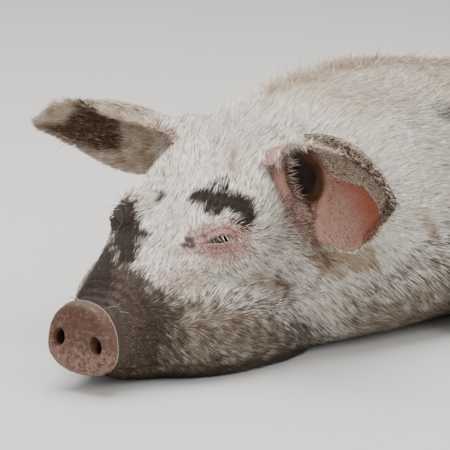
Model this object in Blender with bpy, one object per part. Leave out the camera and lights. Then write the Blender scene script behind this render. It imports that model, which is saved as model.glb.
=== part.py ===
"""A growing pig at life size, lying on its belly with its chin on the floor, parted into the pieces a person names.

Axes: the pig faces -Y, its left side is +X, and the floor is z = 0. Body points are given from the poll (the top of
the head between the ears): left of the spine, behind the poll, above the floor. Head points are given from the middle
of the snout disc: left, behind, above. Head points pass through HEAD, which turns and rolls the head on the neck.
At the end everything is moved so that the origin is the middle of the underside of the whole animal's box.
"""
import math

import bmesh
import bpy
from mathutils import Matrix, Vector

# Driving dimensions, in metres and degrees.
SNOUT_TO_POLL = 0.250
SNOUT_HEIGHT = 0.050
POLL_RISE = 0.060
HEAD_TURN = 10.0
HEAD_ROLL = 4.0
BODY_LENGTH = 0.900
GAP = 0.0004
FAR = 2.0

# How finely masses are melted together and how many triangles each keeps.
FLESH_VOXEL = 0.0045
FLESH_SMOOTHING = 40
FLESH_TRIANGLES = 2370
LEG_VOXEL = 0.0035
LEG_SMOOTHING = 10
LEG_TRIANGLES = 260
TAIL_VOXEL = 0.0025
TAIL_SMOOTHING = 3
TAIL_TRIANGLES = 240
RING_SIDES = 36
DISC_SIDES = 24
TUBE_SIDES = 16
STEPS_PER_SECTION = 3
STEPS_PER_BONE_POINT = 4
SHARP_EDGE = 50.0

# Head cross-sections, in head points: behind, half-width, top, bottom, and how square the upper half is.
HEAD_SECTIONS = (
    (0.004, 0.034, 0.033, -0.031, 2.2),
    (0.018, 0.0345, 0.038, -0.035, 2.3),
    (0.045, 0.044, 0.054, -0.046, 2.6),
    (0.080, 0.057, 0.072, -0.054, 2.8),
    (0.115, 0.071, 0.089, -0.058, 2.9),
    (0.150, 0.084, 0.110, -0.058, 2.9),
    (0.185, 0.094, 0.139, -0.058, 2.6),
    (0.215, 0.100, 0.161, -0.058, 2.4),
    (0.245, 0.102, 0.174, -0.058, 2.3),
    (0.285, 0.102, 0.183, -0.058, 2.3),
)
HEAD_WIDEST = (0.47, -0.07)
HEAD_UNDERSIDE_SQUARE = (2.6, 0.5)

# Body cross-sections, in body points: behind, half-width, top, height of the widest place.
BODY_SECTIONS = (
    (-0.035, 0.092, 0.200, 0.068),
    (0.010, 0.122, 0.230, 0.066),
    (0.060, 0.138, 0.251, 0.066),
    (0.120, 0.148, 0.262, 0.070),
    (0.190, 0.153, 0.265, 0.078),
    (0.270, 0.157, 0.256, 0.084),
    (0.360, 0.162, 0.245, 0.088),
    (0.480, 0.170, 0.256, 0.092),
    (0.600, 0.174, 0.267, 0.096),
    (0.710, 0.168, 0.266, 0.100),
    (0.790, 0.150, 0.250, 0.106),
    (0.850, 0.116, 0.222, 0.112),
    (0.890, 0.062, 0.178, 0.116),
)
BODY_SQUARE = (2.1, 2.7)
BELLY_SINK = 0.004
RUMP_START = 0.740
RUMP_LIFT = 0.075

# Swellings on the left side, as centre, radii and turns in degrees; the right side mirrors them.
JOWL = ((0.050, 0.178, -0.002), (0.056, 0.130, 0.064), (0, 0, -9))
BROW = ((0.053, 0.146, 0.088), (0.022, 0.036, 0.022), (30, 0, 0))
EAR_BASE = ((0.066, 0.250, 0.126), (0.034, 0.036, 0.044), (0, 0, 0))
SHOULDER = ((0.098, 0.240, 0.096), (0.062, 0.120, 0.098), (-12, 0, 0))
HAM = ((0.106, 0.745, 0.098), (0.066, 0.130, 0.104), (10, 0, 0))

# The ears, in head points of a left ear: a cupped sheet whose spine runs out from the root and bends to the tip.
# The left ear hangs open and forward; the right one is narrower and held straighter out.
EAR_ROOT = {1: Vector((0.072, 0.250, 0.145)), -1: Vector((0.072, 0.250, 0.143))}
EAR_LENGTH = 0.172
EAR_OUT = Vector((0.96, -0.10, 0.26)).normalized()
EAR_TIP_WAY = {1: Vector((0.70, -0.65, -0.30)).normalized(), -1: Vector((0.84, -0.36, -0.32)).normalized()}
EAR_CHORD = Vector((0.0, 0.30, -0.95))
EAR_WIDTHS = {
    1: (0.124, 0.158, 0.174, 0.168, 0.140, 0.084, 0.014),
    -1: (0.090, 0.104, 0.109, 0.103, 0.084, 0.051, 0.010),
}
EAR_UPPER_CURL = {1: (140, 138, 130, 118, 98, 70, 45), -1: (118, 120, 118, 108, 92, 66, 45)}
EAR_LOWER_CURL = {1: (80, 56, 40, 34, 30, 30, 30), -1: (80, 66, 56, 48, 40, 32, 30)}
EAR_ROOT_THICK = 0.010
EAR_TIP_THICK = 0.0045
EAR_RIM_THINNING = 0.45
EAR_BURIED = 0.22
EAR_ROWS = 13
EAR_COLUMNS = 9
CANAL = ((0.074, 0.236, 0.128), (0.024, 0.020, 0.020), (0, 0, 0))

# The snout disc, in head points: how far in front, and how much of its full size, ring by ring.
DISC_HALF_WIDTH = 0.0382
DISC_RISE = 0.0365
DISC_DROP = 0.0335
DISC_SQUARE = 2.25
DISC_PEAR = 0.10
DISC_RINGS = (
    (-0.0121, 0.94),
    (-0.008, 0.985),
    (-0.002, 1.0),
    (0.003, 0.985),
    (0.006, 0.93),
    (0.0078, 0.80),
    (0.0080, 0.5),
)
NOSTRIL = ((0.0215, -0.001, 0.000), (0.0060, 0.022, 0.0088), (0, 20, 0))

# Where the head is parted, in head points, and where the neck meets the trunk, in body points.
MUZZLE_FRONT = 0.0125
JAW_END = 0.105
JAW_TOP = -0.028
HEAD_END = 0.272
NECK_END = 0.125

# The eyes, in head points of the left one: the lid opening, and the way the eye looks, turned and lifted.
EYE_LID = Vector((0.0635, 0.128, 0.086))
EYE_TURN = 24.0
EYE_LIFT = 24.0
EYE_RADIUS = 0.0115
EYE_DEPTH = 0.0095
EYE_SLIT = (0.010, 0.0120, 0.0045)

# Legs, in body points of the left side: the swelling at the top (centre, radii, turns), then each bone's line
# with the radii along it. The foot comes last: folded back under the forearm, or forward under the shank.
FORELEG = (
    ((0.130, 0.300, 0.074), (0.046, 0.066, 0.058), (20, 0, 0)),
    (
        ((0.150, 0.318, 0.046), (0.160, 0.262, 0.044), (0.158, 0.205, 0.038), (0.157, 0.184, 0.033)),
        (0.034, 0.031, 0.024, 0.021),
    ),
    (
        ((0.158, 0.188, 0.028), (0.172, 0.212, 0.018), (0.190, 0.246, 0.014), (0.196, 0.276, 0.015)),
        (0.022, 0.020, 0.016, 0.017),
    ),
)
HINDLEG = (
    ((0.126, 0.680, 0.106), (0.056, 0.126, 0.072), (28, 0, 8)),
    (
        ((0.168, 0.606, 0.060), (0.176, 0.680, 0.056), (0.173, 0.750, 0.044), (0.168, 0.782, 0.034)),
        (0.040, 0.040, 0.027, 0.020),
    ),
    (
        ((0.170, 0.785, 0.028), (0.182, 0.755, 0.020), (0.198, 0.690, 0.015), (0.206, 0.630, 0.015)),
        (0.024, 0.021, 0.016, 0.018),
    ),
)
END_ROUND = ((0.80, 0.62), (0.45, 0.88))

# The tail, in body points: it hangs down the rump and curls once at the end.
TAIL = (
    (0.000, 0.875, 0.176),
    (0.004, 0.902, 0.170),
    (0.010, 0.914, 0.142),
    (0.020, 0.918, 0.108),
    (0.038, 0.922, 0.084),
    (0.056, 0.917, 0.092),
    (0.052, 0.922, 0.111),
    (0.036, 0.930, 0.106),
)
TAIL_RADII = (0.017, 0.015, 0.011, 0.0085, 0.007, 0.006, 0.005, 0.0035)

# A claw's outline along its length: share of the length, of the half-width and of the height. Then each kind of
# claw: across and ahead of the end of the foot, height of its underside, length, half-width and height.
CLAW_OUTLINE = ((0.0, 0.85, 0.98), (0.35, 1.0, 0.95), (0.80, 0.75, 0.62), (1.0, 0.25, 0.22))
CLAW_SIDES = 8
MAIN_CLAW = (0.0088, -0.008, -0.0015, 0.040, 0.0080, 0.024)
DEWCLAW = (0.0185, -0.044, 0.006, 0.018, 0.0052, 0.011)

# Plain materials: name, colour and roughness.
SKIN = ("skin", (0.78, 0.60, 0.53), 0.6)
SNOUT_SKIN = ("snout_skin", (0.66, 0.38, 0.33), 0.45)
HORN = ("hoof_horn", (0.20, 0.16, 0.13), 0.5)
EYE_WET = ("eye_wet", (0.03, 0.02, 0.02), 0.1)

SIDES = {1: "left", -1: "right"}


def clear_scene():
    """Empties the file."""
    for obj in list(bpy.data.objects):
        bpy.data.objects.remove(obj, do_unlink=True)


def material(name, colour, roughness):
    """The named Principled material."""
    made = bpy.data.materials.new(name)
    made.use_nodes = True
    shader = made.node_tree.nodes["Principled BSDF"]
    shader.inputs["Base Color"].default_value = (*colour, 1.0)
    shader.inputs["Roughness"].default_value = roughness
    made.diffuse_color = (*colour, 1.0)
    return made


def helper(mesh):
    """An object that only shapes others."""
    made = bpy.data.objects.new("helper", mesh)
    bpy.context.scene.collection.objects.link(made)
    made.hide_render = True
    made.display_type = "WIRE"
    return made


def head_frame():
    """The matrix that takes head points to body points: the head turns and rolls about the poll."""
    poll = Vector((0.0, SNOUT_TO_POLL, SNOUT_HEIGHT + POLL_RISE))
    turn = Matrix.Rotation(math.radians(HEAD_TURN), 4, "Z")
    roll = Matrix.Rotation(math.radians(HEAD_ROLL), 4, "Y")
    to_poll = Matrix.Translation(Vector((0.0, 0.0, SNOUT_HEIGHT)) - poll)
    return Matrix.Translation((0.0, 0.0, poll.z)) @ turn @ roll @ to_poll


HEAD = head_frame()


def between(values, at):
    """Catmull-Rom value of a list of numbers or vectors at a fractional index."""
    last = len(values) - 1
    i = max(0, min(last - 1, int(at)))
    t = at - i
    a, b, c, d = (values[max(0, min(last, k))] for k in (i - 1, i, i + 1, i + 2))
    return 0.5 * (2 * b + (c - a) * t + (2 * a - 5 * b + 4 * c - d) * t * t + (3 * b - a - 3 * c + d) * t**3)


def superellipse(angle, power):
    """A point on the unit superellipse: a circle at power 2, squarer above it."""
    across, above = math.cos(angle), math.sin(angle)
    bend = 2.0 / power
    return math.copysign(abs(across) ** bend, across), math.copysign(abs(above) ** bend, above)


def around(sides):
    """Evenly spaced angles of a full turn."""
    return [2 * math.pi * i / sides for i in range(sides)]


def mesh_from(bm):
    """The mesh of a finished bmesh."""
    mesh = bpy.data.meshes.new("solid")
    bm.to_mesh(mesh)
    bm.free()
    return mesh


def skin_rings(rings):
    """A closed mesh through rings of equally many points, with a fan at each end."""
    bm = bmesh.new()
    loops = [[bm.verts.new(point) for point in ring] for ring in rings]
    for near, far in zip(loops, loops[1:]):
        for i in range(len(near)):
            j = (i + 1) % len(near)
            bm.faces.new((near[i], near[j], far[j], far[i]))
    for loop in (loops[0], loops[-1]):
        middle = bm.verts.new(sum((v.co for v in loop), Vector()) / len(loop))
        for i in range(len(loop)):
            bm.faces.new((loop[i], loop[(i + 1) % len(loop)], middle))
    bmesh.ops.recalc_face_normals(bm, faces=bm.faces)
    return mesh_from(bm)


def section_ring(behind, middle, half_width, rise, drop, powers):
    """One upright cross-section about the middle plane; powers are those of its upper and lower half."""
    ring = []
    for angle in around(RING_SIDES):
        upper = math.sin(angle) >= 0
        across, above = superellipse(angle, powers[0] if upper else powers[1])
        height = middle + above * (rise if upper else drop)
        ring.append(Vector((across * half_width, behind, height)))
    return ring


def stations(sections):
    """The rows of a table of cross-sections, and smooth rows between them."""
    columns = [list(column) for column in zip(*sections)]
    steps = STEPS_PER_SECTION * (len(sections) - 1)
    for k in range(steps + 1):
        yield [between(column, k / STEPS_PER_SECTION) for column in columns]


def head_core():
    """The skull and muzzle as one loft."""
    rings = []
    for behind, half_width, top, bottom, square in stations(HEAD_SECTIONS):
        share = behind / SNOUT_TO_POLL
        middle = bottom + (top - bottom) * (HEAD_WIDEST[0] + HEAD_WIDEST[1] * share)
        powers = (square, HEAD_UNDERSIDE_SQUARE[0] + HEAD_UNDERSIDE_SQUARE[1] * share)
        ring = section_ring(behind, middle, half_width, top - middle, middle - bottom, powers)
        rings.append([HEAD @ point for point in ring])
    return skin_rings(rings)


def body_core():
    """The neck and trunk as one loft; its underside dips just below the floor and lifts at the rump."""
    rings = []
    for behind, half_width, top, middle in stations(BODY_SECTIONS):
        rump = max(0.0, (behind - RUMP_START) / (BODY_LENGTH - RUMP_START))
        drop = middle + BELLY_SINK - RUMP_LIFT * rump**2
        rings.append(section_ring(behind, middle, half_width, top - middle, drop, BODY_SQUARE))
    return skin_rings(rings)


def ellipsoid(centre, radii, turns=(0.0, 0.0, 0.0), frame=None, fineness=3):
    """An ellipsoid, turned about X, Y and Z in degrees, as a mesh in body points."""
    bm = bmesh.new()
    bmesh.ops.create_icosphere(bm, subdivisions=fineness, radius=1.0)
    spin = Matrix.Identity(4)
    for degrees, axis in zip(turns, "XYZ"):
        spin = Matrix.Rotation(math.radians(degrees), 4, axis) @ spin
    place = Matrix.Translation(centre) @ spin @ Matrix.Diagonal((*radii, 1.0))
    bm.transform((frame or Matrix.Identity(4)) @ place)
    return mesh_from(bm)


def on_side(swelling, side, frame=None, fineness=4):
    """A left-hand swelling's ellipsoid, or its mirror image on the right."""
    (left, behind, above), radii, (about_x, about_y, about_z) = swelling
    turns = (about_x, side * about_y, side * about_z)
    return ellipsoid((side * left, behind, above), radii, turns, frame, fineness)


def tube(points, radii):
    """A tapering tube with round ends along a smooth line."""
    steps = STEPS_PER_BONE_POINT * (len(points) - 1)
    line = [between(points, k / STEPS_PER_BONE_POINT) for k in range(steps + 1)]
    thick = [between(radii, k / STEPS_PER_BONE_POINT) for k in range(steps + 1)]
    first = (line[0] - line[1]).normalized()
    last = (line[-1] - line[-2]).normalized()
    line = [line[0] + first * thick[0] * out for out, _ in END_ROUND] + line
    thick = [thick[0] * size for _, size in END_ROUND] + thick
    line = line + [line[-1] + last * thick[-1] * out for out, _ in reversed(END_ROUND)]
    thick = thick + [thick[-1] * size for _, size in reversed(END_ROUND)]
    rings = []
    for k, (centre, radius) in enumerate(zip(line, thick)):
        ahead = (line[min(k + 1, len(line) - 1)] - line[max(k - 1, 0)]).normalized()
        side = ahead.cross(Vector((0, 0, 1))).normalized()
        upright = side.cross(ahead)
        rings.append([centre + radius * (side * math.cos(a) + upright * math.sin(a)) for a in around(TUBE_SIDES)])
    return skin_rings(rings)


def settled(obj):
    """The mesh of an object with its modifiers applied; the object is removed."""
    bpy.context.view_layer.update()
    graph = bpy.context.evaluated_depsgraph_get()
    mesh = bpy.data.meshes.new_from_object(obj.evaluated_get(graph))
    bpy.data.objects.remove(obj, do_unlink=True)
    return mesh


def fused(meshes, voxel, rounds, triangles):
    """Overlapping masses melted into one smooth skin with about that many triangles."""
    bm = bmesh.new()
    for mesh in meshes:
        bm.from_mesh(mesh)
    obj = helper(mesh_from(bm))
    remesh = obj.modifiers.new("remesh", "REMESH")
    remesh.mode = "VOXEL"
    remesh.voxel_size = voxel
    smooth = obj.modifiers.new("smooth", "SMOOTH")
    smooth.factor = 0.5
    smooth.iterations = rounds
    fine = settled(obj)
    obj = helper(fine)
    decimate = obj.modifiers.new("decimate", "DECIMATE")
    decimate.use_collapse_triangulate = True
    decimate.ratio = triangles / (2 * len(fine.polygons))
    return settled(obj)


def grown(mesh):
    """A cutter one gap larger than the mesh all round."""
    larger = helper(mesh.copy())
    push = larger.modifiers.new("push", "DISPLACE")
    push.mid_level = 0.0
    push.strength = GAP
    return helper(settled(larger))


def box(low, high, frame=None):
    """A helper box between two corners."""
    bm = bmesh.new()
    bmesh.ops.create_cube(bm, size=1.0)
    low, high = Vector(low), Vector(high)
    bm.transform(Matrix.Translation((low + high) / 2) @ Matrix.Diagonal((*(high - low), 1.0)))
    bm.transform(frame or Matrix.Identity(4))
    return helper(mesh_from(bm))


def boolean(obj, other, operation):
    """Cuts obj by other, or keeps what both hold."""
    cut = obj.modifiers.new(operation.lower(), "BOOLEAN")
    cut.operation = operation
    cut.object = other
    cut.solver = "EXACT"


def node(name, mesh, finish, keep=(), cut=()):
    """A named solid: what the keep boxes hold of the mesh, less the cutters, shaded smooth."""
    rough = helper(mesh.copy())
    for other in keep:
        boolean(rough, other, "INTERSECT")
    for other in cut:
        boolean(rough, other, "DIFFERENCE")
    final = settled(rough)
    final.name = name
    final.materials.clear()
    final.materials.append(bpy.data.materials.get(finish[0]) or material(*finish))
    final.shade_smooth()
    final.set_sharp_from_angle(angle=math.radians(SHARP_EDGE))
    made = bpy.data.objects.new(name, final)
    bpy.context.scene.collection.objects.link(made)


def ear_ring(share, side):
    """The closed outline of the ear's wall at that share of its length: back face, then inner face."""
    root = EAR_ROOT[side]
    bend = root + EAR_OUT * EAR_LENGTH * 0.5
    tip = bend + EAR_TIP_WAY[side] * EAR_LENGTH * 0.5
    spine = root * (1 - share) ** 2 + bend * 2 * share * (1 - share) + tip * share**2
    along = ((bend - root) * (1 - share) + (tip - bend) * share).normalized()
    chord = (EAR_CHORD - along * EAR_CHORD.dot(along)).normalized()
    inward = -along.cross(chord)
    at = max(0.0, share) * (len(EAR_WIDTHS[side]) - 1)
    width = between(EAR_WIDTHS[side], at)
    upper_curl = math.radians(between(EAR_UPPER_CURL[side], at))
    lower_curl = math.radians(between(EAR_LOWER_CURL[side], at))
    thick = EAR_ROOT_THICK + (EAR_TIP_THICK - EAR_ROOT_THICK) * share
    back, inner = [], []
    for k in range(EAR_COLUMNS):
        across = 2 * k / (EAR_COLUMNS - 1) - 1
        curl = upper_curl if across < 0 else lower_curl
        turn = across * curl
        radius = width / (2 * curl)
        middle = spine + radius * (chord * math.sin(turn) + inward * (1 - math.cos(turn)))
        outward = chord * math.sin(turn) - inward * math.cos(turn)
        half = 0.5 * thick * (1 - EAR_RIM_THINNING * abs(across) ** 3)
        back.append(middle + outward * half)
        inner.append(middle - outward * half)
    return [HEAD @ Vector((side * p.x, p.y, p.z)) for p in back + inner[::-1]]


def ear(side):
    """One ear as a bent, cupped sheet with real thickness, its root inside the head."""
    steps = [k / (EAR_ROWS - 1) for k in range(EAR_ROWS)]
    return skin_rings([ear_ring(-EAR_BURIED + (1 + EAR_BURIED) * step, side) for step in steps])


def snout_disc():
    """The bare disc at the end of the snout: wider below than above, with a rounded rim."""
    rings = []
    for ahead, size in DISC_RINGS:
        ring = []
        for angle in around(DISC_SIDES):
            across, above = superellipse(angle, DISC_SQUARE)
            half_width = DISC_HALF_WIDTH * size * (1.0 - DISC_PEAR * above)
            height = above * size * (DISC_RISE if above > 0 else DISC_DROP)
            ring.append(HEAD @ Vector((across * half_width, -ahead, height)))
        rings.append(ring)
    return skin_rings(rings)


def eye_solids(side):
    """The eyeball's mesh, and the two helpers that open its socket and the slit between the lids."""
    turn, lift = math.radians(EYE_TURN), math.radians(EYE_LIFT)
    gaze = Vector((math.cos(lift) * math.cos(turn), -math.cos(lift) * math.sin(turn), math.sin(lift)))
    centre = EYE_LID - gaze * EYE_DEPTH
    no_turn = (0, 0, 0)
    ball = on_side((centre, (EYE_RADIUS,) * 3, no_turn), side, HEAD, 3)
    socket = on_side((centre, (EYE_RADIUS + GAP,) * 3, no_turn), side, HEAD, 3)
    slit = on_side((EYE_LID, EYE_SLIT, (0, -EYE_LIFT, -EYE_TURN)), side, HEAD, 2)
    return ball, [helper(socket), helper(slit)]


def leg(parts, side):
    """The solid of one leg: its swelling and its bones' tubes melted together."""
    swelling, *bones = parts
    masses = [on_side(swelling, side)]
    for points, radii in bones:
        masses.append(tube([Vector((side * x, y, z)) for x, y, z in points], radii))
    return fused(masses, LEG_VOXEL, LEG_SMOOTHING, LEG_TRIANGLES)


def claw(place, kind, forward, side_way, way, sole_up):
    """One claw: flat on its sole, round on its other face, narrowing to its tip."""
    across, ahead, above, length, half_width, height = kind
    rings = []
    for share, wide, tall in CLAW_OUTLINE:
        centre = place + side_way * way * across + forward * (ahead + share * length)
        ring = []
        for angle in around(CLAW_SIDES):
            lift = tall * (0.5 + 0.5 * math.sin(angle))
            point = centre + side_way * math.cos(angle) * half_width * wide
            point.z = above + height * (1.0 - lift if sole_up else lift)
            ring.append(point)
        rings.append(ring)
    return skin_rings(rings)


def make_claws(parts, leg_name, side, leg_room, floor_space):
    """The two main claws and two dewclaws of one foot."""
    before, end = (Vector((side * x, y, z)) for x, y, z in parts[-1][0][-2:])
    forward = (end - before) * Vector((1, 1, 0))
    forward.normalize()
    side_way = Vector((0, 0, 1)).cross(forward) * side
    sole_up = forward.y > 0
    for word, way in (("outer", math.copysign(1, forward.y)), ("inner", -math.copysign(1, forward.y))):
        for kind_word, kind in (("claw", MAIN_CLAW), ("dewclaw", DEWCLAW)):
            solid = claw(end, kind, forward, side_way, -way, sole_up)
            node(f"{leg_name}_{kind_word}_{word}", solid, HORN, [floor_space], leg_room)


def make_head(flesh, floor_space):
    """The head and lower jaw cut from the flesh, with the snout disc, eyes and ears."""
    canals, sockets, nostrils = [], [], []
    for side, word in SIDES.items():
        canals.append(helper(on_side(CANAL, side, HEAD, 2)))
        nostrils.append(helper(on_side(NOSTRIL, side, HEAD, 2)))
        ball, openings = eye_solids(side)
        sockets.extend(openings)
        node(f"eye_{word}", ball, EYE_WET)
    before_neck = box((-FAR, MUZZLE_FRONT, -FAR), (FAR, HEAD_END, FAR), HEAD)
    jaw_part = box((-FAR, -FAR, -FAR), (FAR, JAW_END, JAW_TOP), HEAD)
    jaw_room = box((-FAR, -FAR, -FAR), (FAR, JAW_END + GAP, JAW_TOP + GAP), HEAD)
    node("head", flesh, SKIN, [floor_space, before_neck], [jaw_room, *canals, *sockets, *nostrils])
    node("lower_jaw", flesh, SKIN, [floor_space, before_neck, jaw_part])
    node("snout_disc", snout_disc(), SNOUT_SKIN, cut=nostrils)


def make_body(flesh, floor_space):
    """The neck and trunk, cut from the same flesh."""
    behind_head = box((-FAR, HEAD_END + GAP, -FAR), (FAR, FAR, FAR), HEAD)
    before_trunk = box((-FAR, -FAR, -FAR), (FAR, NECK_END, FAR))
    behind_neck = box((-FAR, NECK_END + GAP, -FAR), (FAR, FAR, FAR))
    node("neck", flesh, SKIN, [floor_space, behind_head, before_trunk])
    node("trunk", flesh, SKIN, [floor_space, behind_neck])


def make_limbs(flesh, floor_space):
    """The ears, legs, claws and tail, each ending one gap short of what it grows from."""
    grown_flesh = grown(flesh)
    for side, word in SIDES.items():
        node(f"ear_{word}", ear(side), SKIN, cut=[grown_flesh])
        for kind, parts in (("foreleg", FORELEG), ("hindleg", HINDLEG)):
            solid = leg(parts, side)
            node(f"{kind}_{word}", solid, SKIN, [floor_space], [grown_flesh])
            make_claws(parts, f"{kind}_{word}", side, [helper(solid.copy()), grown(solid)], floor_space)
    tail = fused([tube([Vector(point) for point in TAIL], TAIL_RADII)], TAIL_VOXEL, TAIL_SMOOTHING, TAIL_TRIANGLES)
    node("tail", tail, SKIN, cut=[grown_flesh])


def finish_scene():
    """Drops the helpers and centres the animal over the origin."""
    for obj in [o for o in bpy.data.objects if o.hide_render]:
        bpy.data.objects.remove(obj, do_unlink=True)
    points = [vertex.co for obj in bpy.data.objects for vertex in obj.data.vertices]
    middle = [(min(p[axis] for p in points) + max(p[axis] for p in points)) / 2 for axis in (0, 1)]
    for obj in bpy.data.objects:
        obj.data.transform(Matrix.Translation((-middle[0], -middle[1], 0.0)))
    bpy.context.view_layer.update()


def build():
    """Makes every solid."""
    clear_scene()
    masses = [head_core(), body_core()]
    for side in SIDES:
        masses += [on_side(swelling, side, HEAD) for swelling in (JOWL, BROW, EAR_BASE)]
        masses += [on_side(swelling, side) for swelling in (SHOULDER, HAM)]
    flesh = fused(masses, FLESH_VOXEL, FLESH_SMOOTHING, FLESH_TRIANGLES)
    floor_space = box((-FAR, -FAR, 0.0), (FAR, FAR, FAR))
    make_head(flesh, floor_space)
    make_body(flesh, floor_space)
    make_limbs(flesh, floor_space)
    finish_scene()


build()
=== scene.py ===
"""A growing pig lying on its belly with its chin on the floor, dressed over its CAD frame as a museum's model.

One skin stands for all the flesh. Over it lie the bristles of the coat, and longer hairs where the coat breaks its
outline. The eyes and the horn of the feet are pieces of their own. Lengths are in metres, but paths are written in
millimetres. Head points are given from the middle of the snout disc, in the head's own axes: left, behind, above.
"""
import logging
import math
from dataclasses import dataclass, field
from enum import Enum
from typing import Any, Callable, Sequence

import bmesh
import bpy
import numpy as np
from mathutils import Euler, Matrix, Vector
from mathutils.bvhtree import BVHTree


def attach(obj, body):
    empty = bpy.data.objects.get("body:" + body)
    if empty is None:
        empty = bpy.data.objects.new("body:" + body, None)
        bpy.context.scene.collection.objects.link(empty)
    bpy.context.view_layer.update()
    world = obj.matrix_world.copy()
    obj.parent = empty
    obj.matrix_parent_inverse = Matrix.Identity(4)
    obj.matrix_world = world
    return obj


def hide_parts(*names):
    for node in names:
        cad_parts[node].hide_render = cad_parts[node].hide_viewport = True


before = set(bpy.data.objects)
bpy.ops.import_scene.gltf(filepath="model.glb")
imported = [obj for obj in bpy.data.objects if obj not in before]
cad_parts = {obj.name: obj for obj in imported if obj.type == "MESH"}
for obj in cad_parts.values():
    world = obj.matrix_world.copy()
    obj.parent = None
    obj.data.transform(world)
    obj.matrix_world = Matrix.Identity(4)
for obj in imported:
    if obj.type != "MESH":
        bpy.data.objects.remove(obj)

LOG = logging.getLogger("lying_pig")
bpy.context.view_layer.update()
MM = 0.001
DENSE = 1e6  # bristles on a square metre
UV_NAME = "OFBake"
UV_ANGLE = 66
UV_GAP = 0.002
LEFT, RIGHT = 1, -1
BOTH = (LEFT, RIGHT)
SIDE_NAMES = {LEFT: "left", RIGHT: "right"}
FLOOR_GAP = 0.0002
ON_EAR = 0.3  # the least share that puts a point on an ear

Array = np.ndarray
Mesh, Piece, Material = bpy.types.Mesh, bpy.types.Object, bpy.types.Material
Shape = bmesh.types.BMesh
Colour = tuple[float, float, float]
Point = tuple[float, float, float]
Line = tuple[tuple[float, ...], ...]


def sided(*names: str) -> tuple[str, ...]:
    """Each name on the left and on the right."""
    return tuple(f"{name}_{side}" for name in names for side in SIDE_NAMES.values())


FLESH_NODES = ("head", "lower_jaw", "neck", "trunk", "snout_disc", "tail", *sided("ear", "foreleg", "hindleg"))


# --- numbers ---


def ramp(values: Array, start: float, end: float) -> Array:
    """Smooth 0 to 1 as the values go from start to end.

    Args:
        values: The numbers to judge.
        start: Where the result is 0.
        end: Where the result is 1; it may lie below start.

    Returns:
        An array of the same shape, from 0 to 1.
    """
    share = np.clip((values - start) / (end - start), 0.0, 1.0)
    return share * share * (3.0 - 2.0 * share)


def bump_at(values: Array, centre: float, width: float) -> Array:
    """A bell of height 1 at the centre, a few widths across."""
    return np.exp(-(((values - centre) / width) ** 2))


def soft_edge(inside: Array, width: Array | float) -> Array:
    """From 0 outside an edge to 1 inside it, a half on it, over this width."""
    return np.clip(0.5 + inside / width, 0, 1)


def unit(vectors: Array) -> Array:
    """The same vectors at length 1."""
    return vectors / np.maximum(np.linalg.norm(vectors, axis=1, keepdims=True), 1e-9)


def path(*millimetres: float, width: int = 3) -> Line:
    """Numbers in millimetres as rows in metres: the corners of a line, or the pairs of a curve."""
    metres = [number / 1000 for number in millimetres]
    return tuple(tuple(metres[i:i + width]) for i in range(0, len(metres), width))


def mirrored(point: Point, side: int) -> Array:
    """A point of the left side, on either side."""
    return np.array(point) * (side, 1, 1)


def tilted(first: Any, second: Any, degrees: float) -> tuple[Any, Any]:
    """Two ways at right angles, or a point's places along them, turned in their plane."""
    cosine, sine = math.cos(math.radians(degrees)), math.sin(math.radians(degrees))
    return first * cosine + second * sine, second * cosine - first * sine


def to_polyline(points: Array, line: Line) -> tuple[Array, Array]:
    """How far points lie from a line of straight runs.

    Args:
        points: The points, one a row.
        line: The corners of the line.

    Returns:
        The distance, and the line's way at the nearest place.
    """
    corners = np.array(line, float)
    best, way = np.full(len(points), np.inf), np.zeros((len(points), 3))
    for corner, run in zip(corners[:-1], corners[1:] - corners[:-1]):
        length = np.linalg.norm(run)
        along = np.clip((points - corner) @ run / length**2, 0.0, 1.0)
        far = np.linalg.norm(points - corner - along[:, None] * run, axis=1)
        nearer = far < best
        best[nearer], way[nearer] = far[nearer], run / length
    return best, way


@dataclass(frozen=True)
class HeadAxes:
    """The head's axes: it turns and rolls about the poll, the top of the head between the ears."""

    poll: Point = (-0.0024, -0.3363, 0.110)
    snout_to_poll: float = 0.250
    rise: float = 0.060
    turn: float = 10.0
    roll: float = 4.0

    def matrix(self) -> Matrix:
        """The matrix that takes head points to the frame."""
        spin = Matrix.Rotation(math.radians(self.turn), 4, "Z") @ Matrix.Rotation(math.radians(self.roll), 4, "Y")
        return Matrix.Translation(self.poll) @ spin @ Matrix.Translation((0.0, -self.snout_to_poll, -self.rise))

    def inside(self, points: Array) -> Array:
        """Frame points as head points."""
        m = np.array(self.matrix().inverted())
        return points @ m[:3, :3].T + m[:3, 3]

    def outside(self, points: Array) -> Array:
        """Head points as frame points."""
        m = np.array(self.matrix())
        return points @ m[:3, :3].T + m[:3, 3]

    def turned(self, ways: Array) -> Array:
        """Directions in head axes as directions in the frame."""
        return ways @ np.array(self.matrix())[:3, :3].T

    def turned_back(self, ways: Array) -> Array:
        """Directions in the frame as directions in head axes."""
        return ways @ np.array(self.matrix())[:3, :3]


HEAD = HeadAxes()


# --- meshes ---


def rows(items: Any, name: str, kind: type = np.float32, width: int = 3) -> Array:
    """One property of a mesh's parts, a row for each."""
    flat = np.empty(len(items) * width, kind)
    items.foreach_get(name, flat)
    return flat.reshape(-1, width)


def places(mesh: Mesh) -> Array:
    """The mesh's points."""
    return rows(mesh.vertices, "co").astype(float)


def normals(mesh: Mesh) -> Array:
    """The mesh's normals at its points."""
    return rows(mesh.vertex_normals, "vector").astype(float)


def edges(mesh: Mesh) -> Array:
    """The two points of each edge."""
    return rows(mesh.edges, "vertices", np.int32, 2)


def move_to(mesh: Mesh, points: Array, lowest: float = -math.inf) -> None:
    """Moves the mesh's points, but none below the lowest height."""
    points[:, 2] = np.maximum(points[:, 2], lowest)
    mesh.vertices.foreach_set("co", points.astype(np.float32).ravel())
    mesh.update()


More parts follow.
